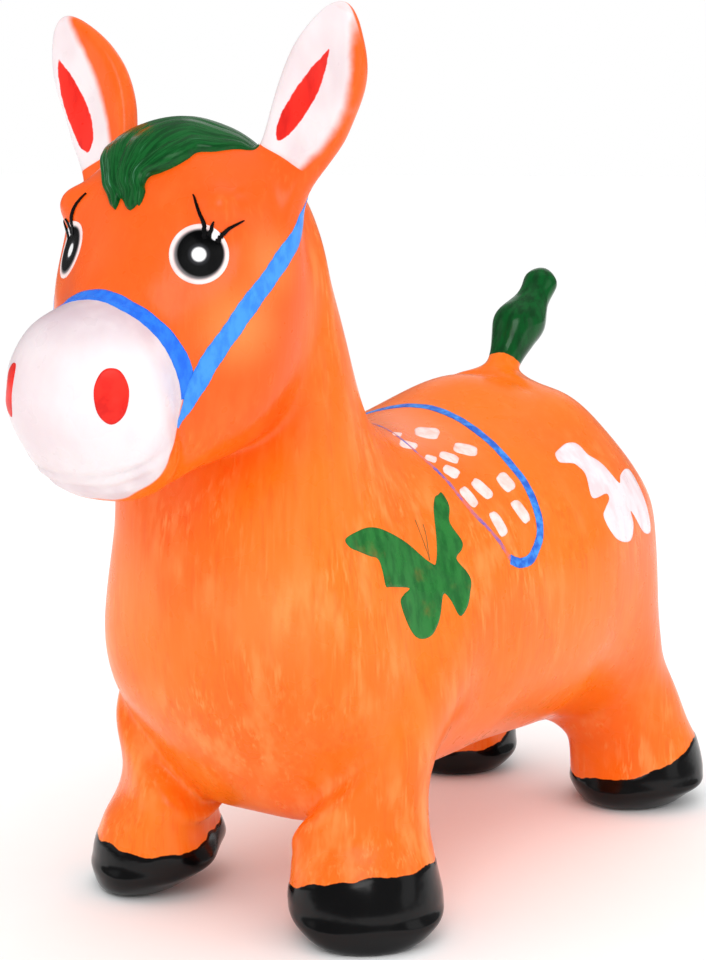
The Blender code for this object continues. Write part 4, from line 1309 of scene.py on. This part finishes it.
def band(path, width, lift, wobble, seed, across=6, spacing=0.0012):
    """A strip of paint along a curve on the skin. width is a number or a function of the way along."""
    line = even_path(path, spacing)
    count = len(line)
    points = []
    for i, place in enumerate(line):
        way = i / (count - 1)
        ahead = line[min(i + 1, count - 1)] - line[max(i - 1, 0)]
        found, normal, *_ = SKIN_TREE.find_nearest(place)
        side = normal.cross(ahead).normalized()
        wide = width(way) if callable(width) else width
        shake = [wobble * math.sin(i * 0.21 * f + seed * 3 + f) / f**0.5 for f in (1, 2.3, 5.1, 9.7)]
        left = wide / 2 + shake[0] + shake[2]
        right = wide / 2 + shake[1] + shake[3]
        for k in range(across + 1):
            points.append(snapped(found + side * (left - (left + right) * k / across), lift))
    faces = grid(count, across + 1)
    return with_skirt(points, faces, open_rim(faces))


def disc(centre, u, v, rings, sectors, dome=0.0, power=2.0, wobble=0.0, seed=0):
    """A round patch of paint spanned by two half axes, squarer for a higher power.

    Returns its points and faces, and the place of each point as shares of the half axes.
    """
    centre, u, v = Vector(centre), Vector(u), Vector(v)
    aim = u.cross(v).normalized()
    points = [snapped(centre, CLEAR + dome, aim)]
    flat = [(0.0, 0.0)]
    for r in range(1, rings + 1):
        share = r / rings
        for k in range(sectors):
            angle = math.tau * k / sectors
            c, s = math.cos(angle), math.sin(angle)
            size = (abs(c) ** power + abs(s) ** power) ** (-1 / power)
            size *= 1 + wobble * (math.sin(3 * angle + seed) + 0.6 * math.sin(7 * angle + 2 * seed))
            a, b = c * size * share, s * size * share
            points.append(snapped(centre + u * a + v * b, CLEAR + dome * (1 - share * share), aim))
            flat.append((a, b))
    faces = [(0, 1 + k, 1 + (k + 1) % sectors) for k in range(sectors)]
    for a in range(1, 1 + (rings - 1) * sectors, sectors):
        for k in range(sectors):
            n = (k + 1) % sectors
            faces.append((a + k, a + sectors + k, a + sectors + n, a + n))
    first = 1 + (rings - 1) * sectors
    points, faces = with_skirt(points, faces, range(first, first + sectors))
    return points, faces, flat + flat[-sectors:]


def outline_film(origin, normal, outline, spacing=0.0016):
    """A film of any outline, given flat in millimetres as seen along a normal."""
    origin, normal = Vector(origin), Vector(normal).normalized()
    right = Vector((0, 0, 1)).cross(normal).normalized()
    up = normal.cross(right)
    edge = [p.xy / 1000 for p in smooth_path([(a, b, 0) for a, b in outline], 6, True)]
    flat_edge = np.array(edge)
    low, high = flat_edge.min(axis=0), flat_edge.max(axis=0)
    inner = []
    for row, y in enumerate(np.arange(low[1], high[1], spacing * 0.87)):
        for x in np.arange(low[0] + (row % 2) * spacing / 2, high[0], spacing):
            if np.min(np.hypot(*(flat_edge - (x, y)).T)) > spacing * 0.55:
                inner.append(Vector((x, y)))
    flat, _, faces, *_ = delaunay_2d_cdt(edge + inner, [], [list(range(len(edge)))], 1, 1e-7)
    used = sorted({i for f in faces for i in f})
    index = {old: new for new, old in enumerate(used)}
    points = [snapped(origin + right * flat[i].x + up * flat[i].y, CLEAR, normal) for i in used]
    faces = [tuple(index[i] for i in f) for f in faces]
    return with_skirt(points, faces, open_rim(faces))


def open_rim(faces):
    """The open edge of a patch, in the order of its faces."""
    directed = {(f[k], f[(k + 1) % len(f)]) for f in faces for k in range(len(f))}
    ahead = {a: b for a, b in directed if (b, a) not in directed}
    start = min(ahead)
    rim = [start]
    while ahead[rim[-1]] != start:
        rim.append(ahead[rim[-1]])
    return rim


def join(parts):
    """Several patches as one."""
    points, faces = [], []
    for part_points, part_faces, *_ in parts:
        base = len(points)
        points += list(part_points)
        faces += [tuple(i + base for i in f) for f in part_faces]
    return points, faces


def on_both_sides(patch):
    """A patch on the left and its mirror image, as one."""
    return join([patch, mirrored(*patch[:2])])


# The skin and its fields

SKIN, SKIN_QUADS, SKIN_PIECES, SHIFT = draw_skin()
SKIN = mould(SKIN, SKIN_QUADS)


BELLY_TOP = 0.09  # the underside of the belly lies below this
SEAT_PROUD = 0.0012  # how far the valve seat stands out of the belly
SEAT_LEVEL = (1.2, 3.2)  # radii of the seat between which the level belly runs out
SEAT_OPENING = 0.97  # radii of the seat within which the belly is open


def open_valve(points, quads):
    """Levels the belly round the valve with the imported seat, and marks the faces that stay."""
    low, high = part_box("valve_seat")
    middle = np.array(((low.x + high.x) / 2, (low.y + high.y) / 2 - SHIFT))
    radius = (high.x - low.x) / 2
    away = np.hypot(points[:, 0] - middle[0], points[:, 1] - middle[1])
    belly = (points[:, 2] < BELLY_TOP) & (away < SEAT_LEVEL[1] * radius)
    share = 1 - soft_step(away[belly] / radius, *SEAT_LEVEL)
    points[belly, 2] += (low.z + SEAT_PROUD - points[belly, 2]) * share
    middles = points[quads].mean(axis=1)
    inside = np.hypot(middles[:, 0] - middle[0], middles[:, 1] - middle[1]) < radius * SEAT_OPENING
    return ~(inside & (middles[:, 2] < BELLY_TOP))


KEEP = open_valve(SKIN, SKIN_QUADS)
SKIN_NORMALS = normals_of(SKIN, SKIN_QUADS)
SKIN_TREE = BVHTree.FromPolygons(SKIN.tolist(), SKIN_QUADS.tolist())

body = skin_piece("body_skin", body_material(), {"muzzle": muzzle_field(SKIN)})
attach(body, "body")
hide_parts("torso_skin", "neck_skin", "head_skin", "muzzle_skin")

hoof_fields = {"hoof": hoof_field(SKIN)}
leg_paint = leg_material()
for side_name, side in SIDES:
    for end_name, end, *_ in ENDS:
        leg = skin_piece(f"{end_name}_leg_{side_name}_skin", leg_paint, hoof_fields)
        lean = Vector((math.sin(LEG_ROOT_SLANT) * -side, 0, -math.cos(LEG_ROOT_SLANT)))
        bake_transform(leg)
        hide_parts(f"leg_{end_name}_{side_name}", f"hoof_{end_name}_{side_name}")

ear_paint = ear_material()
for side_name, side in SIDES:
    white, red = ear_fields(SKIN, SKIN_NORMALS, side)
    ear = skin_piece(f"ear_{side_name}_skin", ear_paint, {"ear_white": white, "ear_red": red})
    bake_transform(ear)
    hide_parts(f"ear_root_{side_name}", f"ear_{side_name}")

tail = skin_piece("tail_skin", tail_material(), {"tail_green": tail_field(SKIN)})
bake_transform(tail)
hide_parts("tail_root", "tail")


# Mane

LOCK_HEART = Vector((0, -POLL_FORWARD - 0.20 * HEAD_LENGTH, POLL_HEIGHT - 0.36 * HEAD_DEPTH))
LOCK_RELIEF = 0.0046  # of the forelock above the brow
LOCK_CREST = 0.75  # how much more where it is fullest
LOCK_CREST_WAY = 0.54  # where that is, along the forelock
LOCK_CREST_LENGTH = 0.20  # over which it rises and falls
LOCK_START = 0.40  # the share of the way over which it rises out of the crown
LOCK_LOOSE = 0.016  # the farthest that the skin may lie from the forelock's drawn place
LOCK_COLUMNS = 72
LOCK_ROWS = 120
# The forelock's front edge and back edge, from the left ear over the crown and down the brow
LOCK_FRONT = mm((
    (50, -231, 462.5), (45, -235, 462), (41, -239, 461.5), (35, -250, 460), (27.5, -256, 459.5),
    (25, -261.5, 456), (20, -266.5, 452), (13.5, -270, 449), (7, -272, 446.5), (6, -275, 442),
    (8.5, -278, 438), (8.5, -283.5, 429),
))
LOCK_BACK = mm((
    (49, -225, 464), (42, -215, 468), (22, -209, 473), (-2, -211, 474), (-26.5, -213.5, 473),
    (-44, -224.5, 468), (-47.5, -241, 460.5), (-39.5, -257, 453.5), (-31, -268, 447.5),
    (-24.5, -274.5, 440.5), (-17.5, -279, 435), (-12, -284, 427.5),
))
# How far the forelock runs, from its front edge to its back edge
TIPS = (
    (0.0, 0.955), (0.05, 0.975), (0.12, 0.965), (0.20, 0.985), (0.30, 1.0), (0.42, 0.985),
    (0.58, 0.940), (0.66, 0.925), (0.72, 0.955), (0.82, 0.985), (0.92, 0.965), (1.0, 0.950),
)


def on_path(path, way):
    """A place on a smooth path with points at even shares of it."""
    last = len(path) - 1
    place = min(max(way, 0), 1) * last
    first = min(int(place), last - 1)
    four = [Vector(path[min(max(first + k, 0), last)]) for k in (-1, 0, 1, 2)]
    return between(*four, place - first)


def strand_height(across, way):
    """Relief of the moulded strands, three or four broad ones with fine ones on them."""
    sweep = across * 3.4 + 0.35 * math.sin(way * 5.2) + 0.4 * way
    broad = abs(math.sin(math.pi * sweep))
    fine = abs(math.sin(math.pi * (across * 13.0 + 0.8 * math.sin(way * 6.0 + across * 3.0))))
    return 0.76 + 0.21 * broad**0.6 + 0.03 * fine


def mane():
    """The forelock: moulded strands on the brow that part into pointed tips, and its two fields."""
    points, along_field, across_field = [], [], []
    body_quads = SKIN_QUADS[SKIN_PIECES == PIECES.index("body_skin")]
    crown = BVHTree.FromPolygons(SKIN.tolist(), body_quads.tolist())
    reaches = np.interp(np.linspace(0, 1, LOCK_COLUMNS + 1), *zip(*TIPS))
    for i in range(LOCK_ROWS + 1):
        for k in range(LOCK_COLUMNS + 1):
            across = k / LOCK_COLUMNS
            share = i / LOCK_ROWS
            way = reaches[k] * share
            place = on_path(LOCK_FRONT, way).lerp(on_path(LOCK_BACK, way), across)
            aim = (place - LOCK_HEART).normalized()
            skin, normal, *_ = crown.ray_cast(LOCK_HEART + aim * HEAD_WIDTH, -aim)
            if skin is None or (skin - place).length > LOCK_LOOSE:
                skin, normal, *_ = crown.find_nearest(place)
            side_fall = (1 - abs(2 * across - 1) ** 7) ** 0.5
            tip_fall = (1 - share**18) ** 0.5
            rise = math.sin(math.pi / 2 * min(way / LOCK_START, 1))
            crest = 1 + LOCK_CREST * math.exp(-(((way - LOCK_CREST_WAY) / LOCK_CREST_LENGTH) ** 2))
            height = LOCK_RELIEF * crest * side_fall * tip_fall * rise * strand_height(across, way)
            points.append(skin + normal * (height - SINK * (1 - min(height / 0.0006, 1))))
            along_field.append(way)
            across_field.append(across)
    faces = [face[::-1] for face in grid(LOCK_ROWS + 1, LOCK_COLUMNS + 1)]
    return points, faces, {"along": along_field, "across": across_field}


def mane_material():
    """Green paint with streaks that follow the strands."""
    m = Material("green_mane")
    across, along = m.times(m.field("across"), 22.0), m.times(m.field("along"), 3.6)
    brush = m.node("CombineXYZ", ("X", across), ("Y", along)).outputs[0]
    streak = m.noise(brush, 1.6, 4.0, 0.65)
    colour = m.mix(m.ramp(streak, 0.35, 0.62), GREEN_DEEP, GREEN)
    sheen = m.ramp(m.noise(brush, 0.55, 3.0, 0.6), 0.60, 0.70, 0.0, 0.60)
    colour = m.mix(sheen, colour, GREEN_SHEEN)
    return m.finish(colour, m.ramp(streak, 0.3, 0.7, 0.18, 0.34), streak, 0.0003, 0.5, 0.2)


lock_points, lock_faces, lock_fields = mane()
lock = new_piece("forelock_mane", lock_points, lock_faces, mane_material(), lock_fields)
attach(lock, "body")
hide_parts("forelock")


# Painted ornament

def painted(name, patch, material, fields=None):
    """A film of paint as a piece that goes with the body."""
    piece = new_piece(name, *patch[:2], material, fields)
    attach(piece, "body")


NOSEBAND = mm((
    (0, -311.5, 385.5), (13, -311.5, 384), (23.5, -310, 378.5), (33.5, -305, 371), (40, -300, 363),
    (44, -296, 355), (46, -292.5, 346.5), (47, -290, 337), (47, -289, 329),
))
CHEEK_STRAP = mm((
    (44.5, -295.5, 313.5), (46, -290.5, 321.5), (48, -287.5, 330.5), (56, -281.5, 348.5),
    (64, -274.5, 364), (71.5, -262, 383), (75.5, -244.5, 401), (78, -230, 415.5), (77.5, -221.5, 425),
    (70, -202, 437), (54, -190, 448), (29, -185, 456), (0, -184, 459),
))


NOSEBAND_WIDTH = 0.0098


def strap_width(way):
    """Breadth of the cheek strap, which comes to a point at the corner of the mouth."""
    return 0.0012 + 0.0090 * min(min(way, 1 - way) / 0.05, 1) ** 0.8


azure = paint_material("azure_bridle_paint", AZURE, AZURE_DEEP, 210.0, (1, 1, 0.5))
noseband = smooth_path(there_and_back(NOSEBAND[::-1]), 8)
cheeks = smooth_path(there_and_back(CHEEK_STRAP), 8)
noseband_blue = paint_material("noseband_paint", NOSE_BLUE, NOSE_BLUE_DEEP, 210.0, (1, 1, 0.5))
painted("noseband_paint", band(noseband, NOSEBAND_WIDTH, CLEAR, 0.0002, 1), noseband_blue)
painted("cheek_strap_paint", band(cheeks, strap_width, CLEAR * 1.6, 0.0003, 2), azure)

SADDLE_EDGE = mm((
    (0, 1, 292), (11, 1, 291.5), (26.5, -1.5, 289.5), (43, -5, 285), (68, -11.5, 274), (83, -15, 263.5),
    (93, -16, 253.5), (104.5, -19.5, 237.5), (109.5, -24, 226), (112, -30.5, 218.5), (113.5, -41, 211),
    (113, -52.5, 210), (111.5, -62, 213.5),
))
SADDLE_FRONT = mm((
    (111.5, -62, 213.5), (108, -67, 223), (103, -73, 232.5), (97, -79, 241.5), (88.5, -82.5, 251.5),
    (79.5, -83.5, 261), (70, -84.5, 269), (56, -86, 279), (38, -80, 287), (18, -66, 289),
    (0.5, -52, 288),
))
SADDLE_FRONT_WIDTH = 0.0026
# Pale dabs in the saddle, in millimetres and degrees: middle, half length and its turn from the
# line of the back, half breadth and its turn from the line down the side
DABS = (
    (35, -41, 284, 12, -32, 8, 45), (50, -84, 282, 8.5, -30, 8, 74), (61, -36, 275, 8, -32, 8, 48),
    (64, -59, 273, 6.5, -29, 6.5, 43), (63, -78, 274, 5, -29, 4.2, 55),
    (74, -72, 266, 6.5, -26, 5.4, 37), (89, -32, 256, 7.2, -14, 6.6, 3),
    (88, -58, 255, 6.1, -19, 7.7, 18), (89, -75, 252, 5, -14, 7.2, 8),
    (102, -35, 239, 5.3, -11, 8, 15), (103, -62, 235, 5, -9, 8.2, 10),
    (36, -74, 289, 9.6, -29, 4.1, 77),
)


def dab(x, y, z, length, length_turn, breadth, breadth_turn, seed):
    """One square-cornered dab of paint on the skin."""
    place = Vector((x, y, z)) / 1000
    normal = SKIN_TREE.find_nearest(place)[1]
    back = (Vector((0, 1, 0)) - normal * normal.y).normalized()
    down = back.cross(normal)

    def half_axis(toward, beside, degrees, millimetres):
        turn = math.radians(degrees)
        return (toward * math.cos(turn) + beside * math.sin(turn)) * millimetres / 1000

    v = half_axis(back, down, length_turn, length)
    u = half_axis(down, back, breadth_turn, breadth)
    return disc(place, u, v, 5, 36, power=3.6, wobble=0.03, seed=seed)


def saddle_width(way):
    """Breadth of the saddle's blue edge, broadest low on each side and thin over the back."""
    down = abs(2 * way - 1)
    return 0.0058 + 0.0006 * min(down / 0.5, 1)


blue = paint_material("saddle_edge_paint", SADDLE_BLUE, AZURE, 160.0)
mauve = paint_material("saddle_front_paint", MAUVE, SADDLE_BLUE, 150.0, thin=(0.46, 0.66, 0.75))
pale = paint_material("saddle_dab_paint", DAB_PINK, DAB_PINK_DEEP, 150.0, thin=(0.58, 0.78, 0.40))
edge_path = smooth_path(there_and_back(SADDLE_EDGE[::-1]), 8)
edge = band(edge_path, saddle_width, CLEAR * 1.4, 0.00018, 3)
front = band(smooth_path(SADDLE_FRONT, 8), SADDLE_FRONT_WIDTH, CLEAR * 1.3, 0.00022, 4)
dabs = join([dab(*row, seed) for seed, row in enumerate(DABS)])
painted("saddle_edge_paint", edge, blue)
painted("saddle_front_paint", on_both_sides(front), mauve)
painted("saddle_dabs_paint", on_both_sides(dabs), pale)

# Outlines of the two butterflies in millimetres, flat as seen along a normal of the skin
SHOULDER_FLY = (
    (-53, 31), (-44, 34), (-34, 35), (-21, 32), (0, 22), (18, 8), (24, 9), (34, 35), (41, 45),
    (46, 47), (49, 48), (50, 44), (49, 38), (44, 29), (48, 17), (46, 12), (40, 7), (46, -2),
    (48, -8), (46, -14), (43, -21), (38, -26), (34, -26), (29, -16), (24, -12), (19, -23),
    (15, -29), (9, -34), (1, -35), (-6, -32), (-12, -23), (-16, -11), (-12, -7), (-6, -4),
    (-24, -1), (-28, 0), (-29, 8), (-31, 16), (-38, 19), (-46, 23), (-51, 26),
)
RUMP_FLY = (
    (-42, 31), (-39, 37), (-30, 40), (-21, 42), (-13, 41), (-10, 37), (-9, 30), (-1, 22), (9, 6),
    (18, 11), (35, 15), (45, 10), (50, -20), (48, -29), (37, -30), (27, -26), (13, -14), (13, -22),
    (10, -28), (4, -32), (-6, -32), (-16, -29), (-22, -24), (-26, -18), (-27, -12), (-22, -8),
    (-14, -3), (-15, 1), (-32, 1), (-26, 17), (-27, 23), (-30, 27), (-38, 29),
)
FEELER_WIDTH = 0.0006
FEELERS = (
    ((96.5, -128.5, 221.5), (94, -127, 228.5), (91.5, -125, 235), (88, -124, 241.5)),
    ((96.5, -128.5, 221.5), (93, -129, 229.5), (90, -129.5, 238), (86.5, -130, 245)),
)
fly_green = paint_material(
    "green_butterfly_paint", FLY_GREEN, FLY_GREEN_DEEP, 150.0, (1, 1, 0.35), thin=(0.55, 0.85, 0.18)
)
feeler_paint = paint_material("feeler_paint", FEELER_BROWN, FEELER_PALE, 150.0)
fly_white = paint_material("white_butterfly_paint", FLY_WHITE, FLY_WHITE_SHADE, 70.0, (1, 1, 0.4))
shoulder = outline_film((0.099, -0.147, 0.213), (0.96, -0.12, 0.25), SHOULDER_FLY)
rump = outline_film((0.111, 0.070, 0.238), (0.86, 0.02, 0.50), RUMP_FLY)
feelers = join([band(smooth_path(path, 6), FEELER_WIDTH, CLEAR, 0.0001, i, 2, 0.0015)
                for i, path in enumerate(map(mm, FEELERS))])
painted("shoulder_butterfly_paint", on_both_sides(shoulder), fly_green)
painted("butterfly_feelers_paint", on_both_sides(feelers), feeler_paint)
painted("rump_butterfly_paint", on_both_sides(rump), fly_white)


# Face

# Middle and two half axes of the eye and of each nostril, in millimetres
EYE = mm(((48.9, -282.5, 406.8), (14.2, 8, 0.1), (-2.7, 3.5, 15.8)))
NOSTRILS = (
    mm(((39.2, -341.4, 334.5), (6.6, 6.4, -0.1), (-0.9, 1.3, 14.6))),
    mm(((-30, -349, 334.5), (6, -4.6, 0.5), (1.4, 1, 14.6))),
)
# Round spots of the eye, outermost first: place across it, radius and soft edge as shares of its
# half axes, and colour
EYE_SPOTS = (
    (0.01, 0.0, 0.85, 0.06, linear(112, 108, 110)),
    (0.05, 0.03, 0.79, 0.05, BLACK),
    (0.0, 0.0, 0.34, 0.08, linear(48, 48, 52)),
    (0.0, 0.0, 0.24, 0.045, linear(244, 244, 244)),
    (0.58, 0.64, 0.17, 0.03, linear(246, 244, 246)),
)


def eye_material():
    """Rings of the eye, painted from the two fields that give the place across it."""
    m = Material("eye_paint")
    cloud = m.ramp(m.grain(120.0, 2.0), 0.3, 0.7)
    colour = m.mix(cloud, linear(252, 232, 228), linear(246, 214, 212))
    for x, y, radius, soft, tone in EYE_SPOTS:
        dx, dy = m.minus(m.field("eye_x"), x), m.minus(m.field("eye_y"), y)
        away = m.math("SQRT", m.plus(m.times(dx, dx), m.times(dy, dy)))
        colour = m.mix(m.ramp(away, radius - soft, radius + soft, 1.0, 0.0), colour, tone)
    roughness = m.ramp(cloud, 0.0, 1.0, 0.16, 0.26)
    return m.finish(colour, roughness, cloud, 0.00006, 0.3, 0.04)


*eye, flat = disc(*EYE, 16, 72, dome=0.0006)
eye_fields = dict(zip(("eye_x", "eye_y"), zip(*flat)))
eye_paint = eye_material()
painted("eye_left_paint", eye, eye_paint, eye_fields)
painted("eye_right_paint", mirrored(*eye), eye_paint, eye_fields)

# The three lashes over the left eye, from root to tip, in millimetres
LASHES = (
    ((50.5, -279, 414), (49.5, -278.5, 416.5), (48.5, -277, 422), (46, -275.5, 428),
     (42.5, -274, 433), (39, -273, 437)),
    ((52, -278, 415), (52.5, -276.5, 417.5), (53, -275, 421), (53.5, -273, 424)),
    ((56, -276, 412.5), (57.5, -274.5, 414.5), (59.5, -271, 418), (61.5, -267, 421),
     (64, -262, 423.5)),
)


def lash_width(way):
    """Breadth of a lash, which runs out to a fine tip."""
    return 0.0022 * (1 - way) ** 0.7 + 0.0005


lash_black = paint_material("lash_paint", BLACK, BLACK_WORN, 200.0, shine=0.06)
lashes = join([band(smooth_path(path, 8), lash_width, CLEAR + 0.0007, 0.00004, i, 4, 0.0007)
               for i, path in enumerate(map(mm, LASHES))])
painted("lashes_paint", on_both_sides(lashes), lash_black)

nostril_red = paint_material("nostril_paint", RED, RED_DEEP, 90.0)
nostrils = join([disc(*axes, 10, 56, wobble=0.012) for axes in NOSTRILS])
painted("nostrils_paint", nostrils, nostril_red)


# Valve

def clear_material():
    """Cloudy clear vinyl of the valve."""
    m = Material("clear_valve_vinyl")
    cloud = m.noise(m.node("TexCoord").outputs["Object"], 300.0, 3.0)
    colour = m.mix(m.ramp(cloud, 0.3, 0.7), CLEAR_VINYL, CLEAR_VINYL_DEEP)
    return m.finish(colour, m.ramp(cloud, 0.3, 0.7, 0.28, 0.42), cloud, 0.0001, 0.4)


valve_clear = clear_material()
for node_name in ("valve_seat", "valve_plug"):
    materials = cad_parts[node_name].data.materials
    materials.clear()
    materials.append(valve_clear)


# Floor, light and camera

CAMERA_YAW = math.radians(35.87)
CAMERA_PITCH = math.radians(8.51)
CAMERA_PLACE = Vector((0.786, -1.160, 0.455))
CAMERA_LENS = 79.85  # millimetres
CAMERA_SENSOR = 36  # millimetres
FLOOR_REACH = 60.0
LAMP_TARGET = Vector((0, 0, 0.28))
SKY_LEVEL = 0.94  # brightness of the sky
SKY_LEAN = (0.8, 0.05, 0.5)  # where it is brighter
SKY_SLOPE = 0.26  # and by how much
SKY_GLOSS_LOSS = 0.75  # how much dimmer it is in reflections


def floor():
    """The pale floor, wide enough that no view shows its edge."""
    mesh = bpy.data.meshes.new("floor")
    r = FLOOR_REACH
    corners = [(-r, -r, 0), (r, -r, 0), (r, r, 0), (-r, r, 0)]
    mesh.from_pydata(corners, [], [range(4)])
    m = Material("pale_floor")
    grain = m.noise(m.node("NewGeometry").outputs["Position"], 30.0, 3.0)
    m.finish(m.mix(grain, (0.97, 0.97, 0.97), (0.99, 0.99, 0.99)), 0.75, shine=0.0)
    mesh.materials.append(m.material)
    add_object("floor", mesh)


def lamp(name, place, size, power):
    """A broad soft lamp that faces the middle of the horse."""
    data = bpy.data.lights.new(name, "AREA")
    data.shape = "RECTANGLE"
    data.size, data.size_y = size
    data.energy = power
    ob = add_object(name, data)
    ob.location = place
    ob.rotation_euler = (LAMP_TARGET - Vector(place)).to_track_quat("-Z", "Y").to_euler()


def camera():
    """The camera, fitted to the outline in the photograph."""
    yaw, pitch = CAMERA_YAW, CAMERA_PITCH
    right = Vector((math.cos(yaw), math.sin(yaw), 0))
    level = Vector((-math.sin(yaw), math.cos(yaw), 0))
    look = level * math.cos(pitch) - Vector((0, 0, math.sin(pitch)))
    up = right.cross(look)
    data = bpy.data.cameras.new("camera")
    data.lens = CAMERA_LENS
    data.sensor_width = CAMERA_SENSOR
    ob = add_object("camera", data)
    place = CAMERA_PLACE + Vector((0, SHIFT, 0))
    ob.matrix_world = Matrix.Translation(place) @ Matrix((right, up, -look)).transposed().to_4x4()
    bpy.context.scene.camera = ob


floor()
# Name, place, size in metres and power in watts
LAMPS = (
    ("key", (0.9, -1.6, 1.5), (0.9, 0.9), 9),
    ("fill", (-1.6, -1.2, 0.9), (1.4, 1.2), 2),
    ("side", (1.9, 0.3, 0.8), (0.8, 1.4), 2.5),
    ("top", (0.0, 0.2, 2.0), (1.6, 1.6), 2),
    ("back", (-0.8, 1.7, 1.2), (1.2, 1.0), 2),
)
for row in LAMPS:
    lamp(*row)
world = bpy.data.worlds.new("studio")
bpy.context.scene.world = world
sky = Nodes(world)
background = sky.tree.nodes["Background"].inputs
background["Color"].default_value = (1, 1, 1, 1)
# brighter from the right and above, plain white to the camera and dim in reflections
rays = sky.node("LightPath").outputs
toward = sky.node("TexCoord").outputs["Generated"]
lean = sky.node("VectorMath", (0, toward), (1, SKY_LEAN), operation="DOT_PRODUCT").outputs["Value"]
strength = sky.plus(sky.times(lean, SKY_SLOPE), SKY_LEVEL)
loss = sky.times(rays["Is Glossy Ray"], -SKY_GLOSS_LOSS)
strength = sky.times(strength, sky.plus(loss, 1.0))
sky.wire(sky.math("MAXIMUM", strength, rays["Is Camera Ray"]), background["Strength"])
bpy.context.scene.view_settings.view_transform = "Standard"
camera()
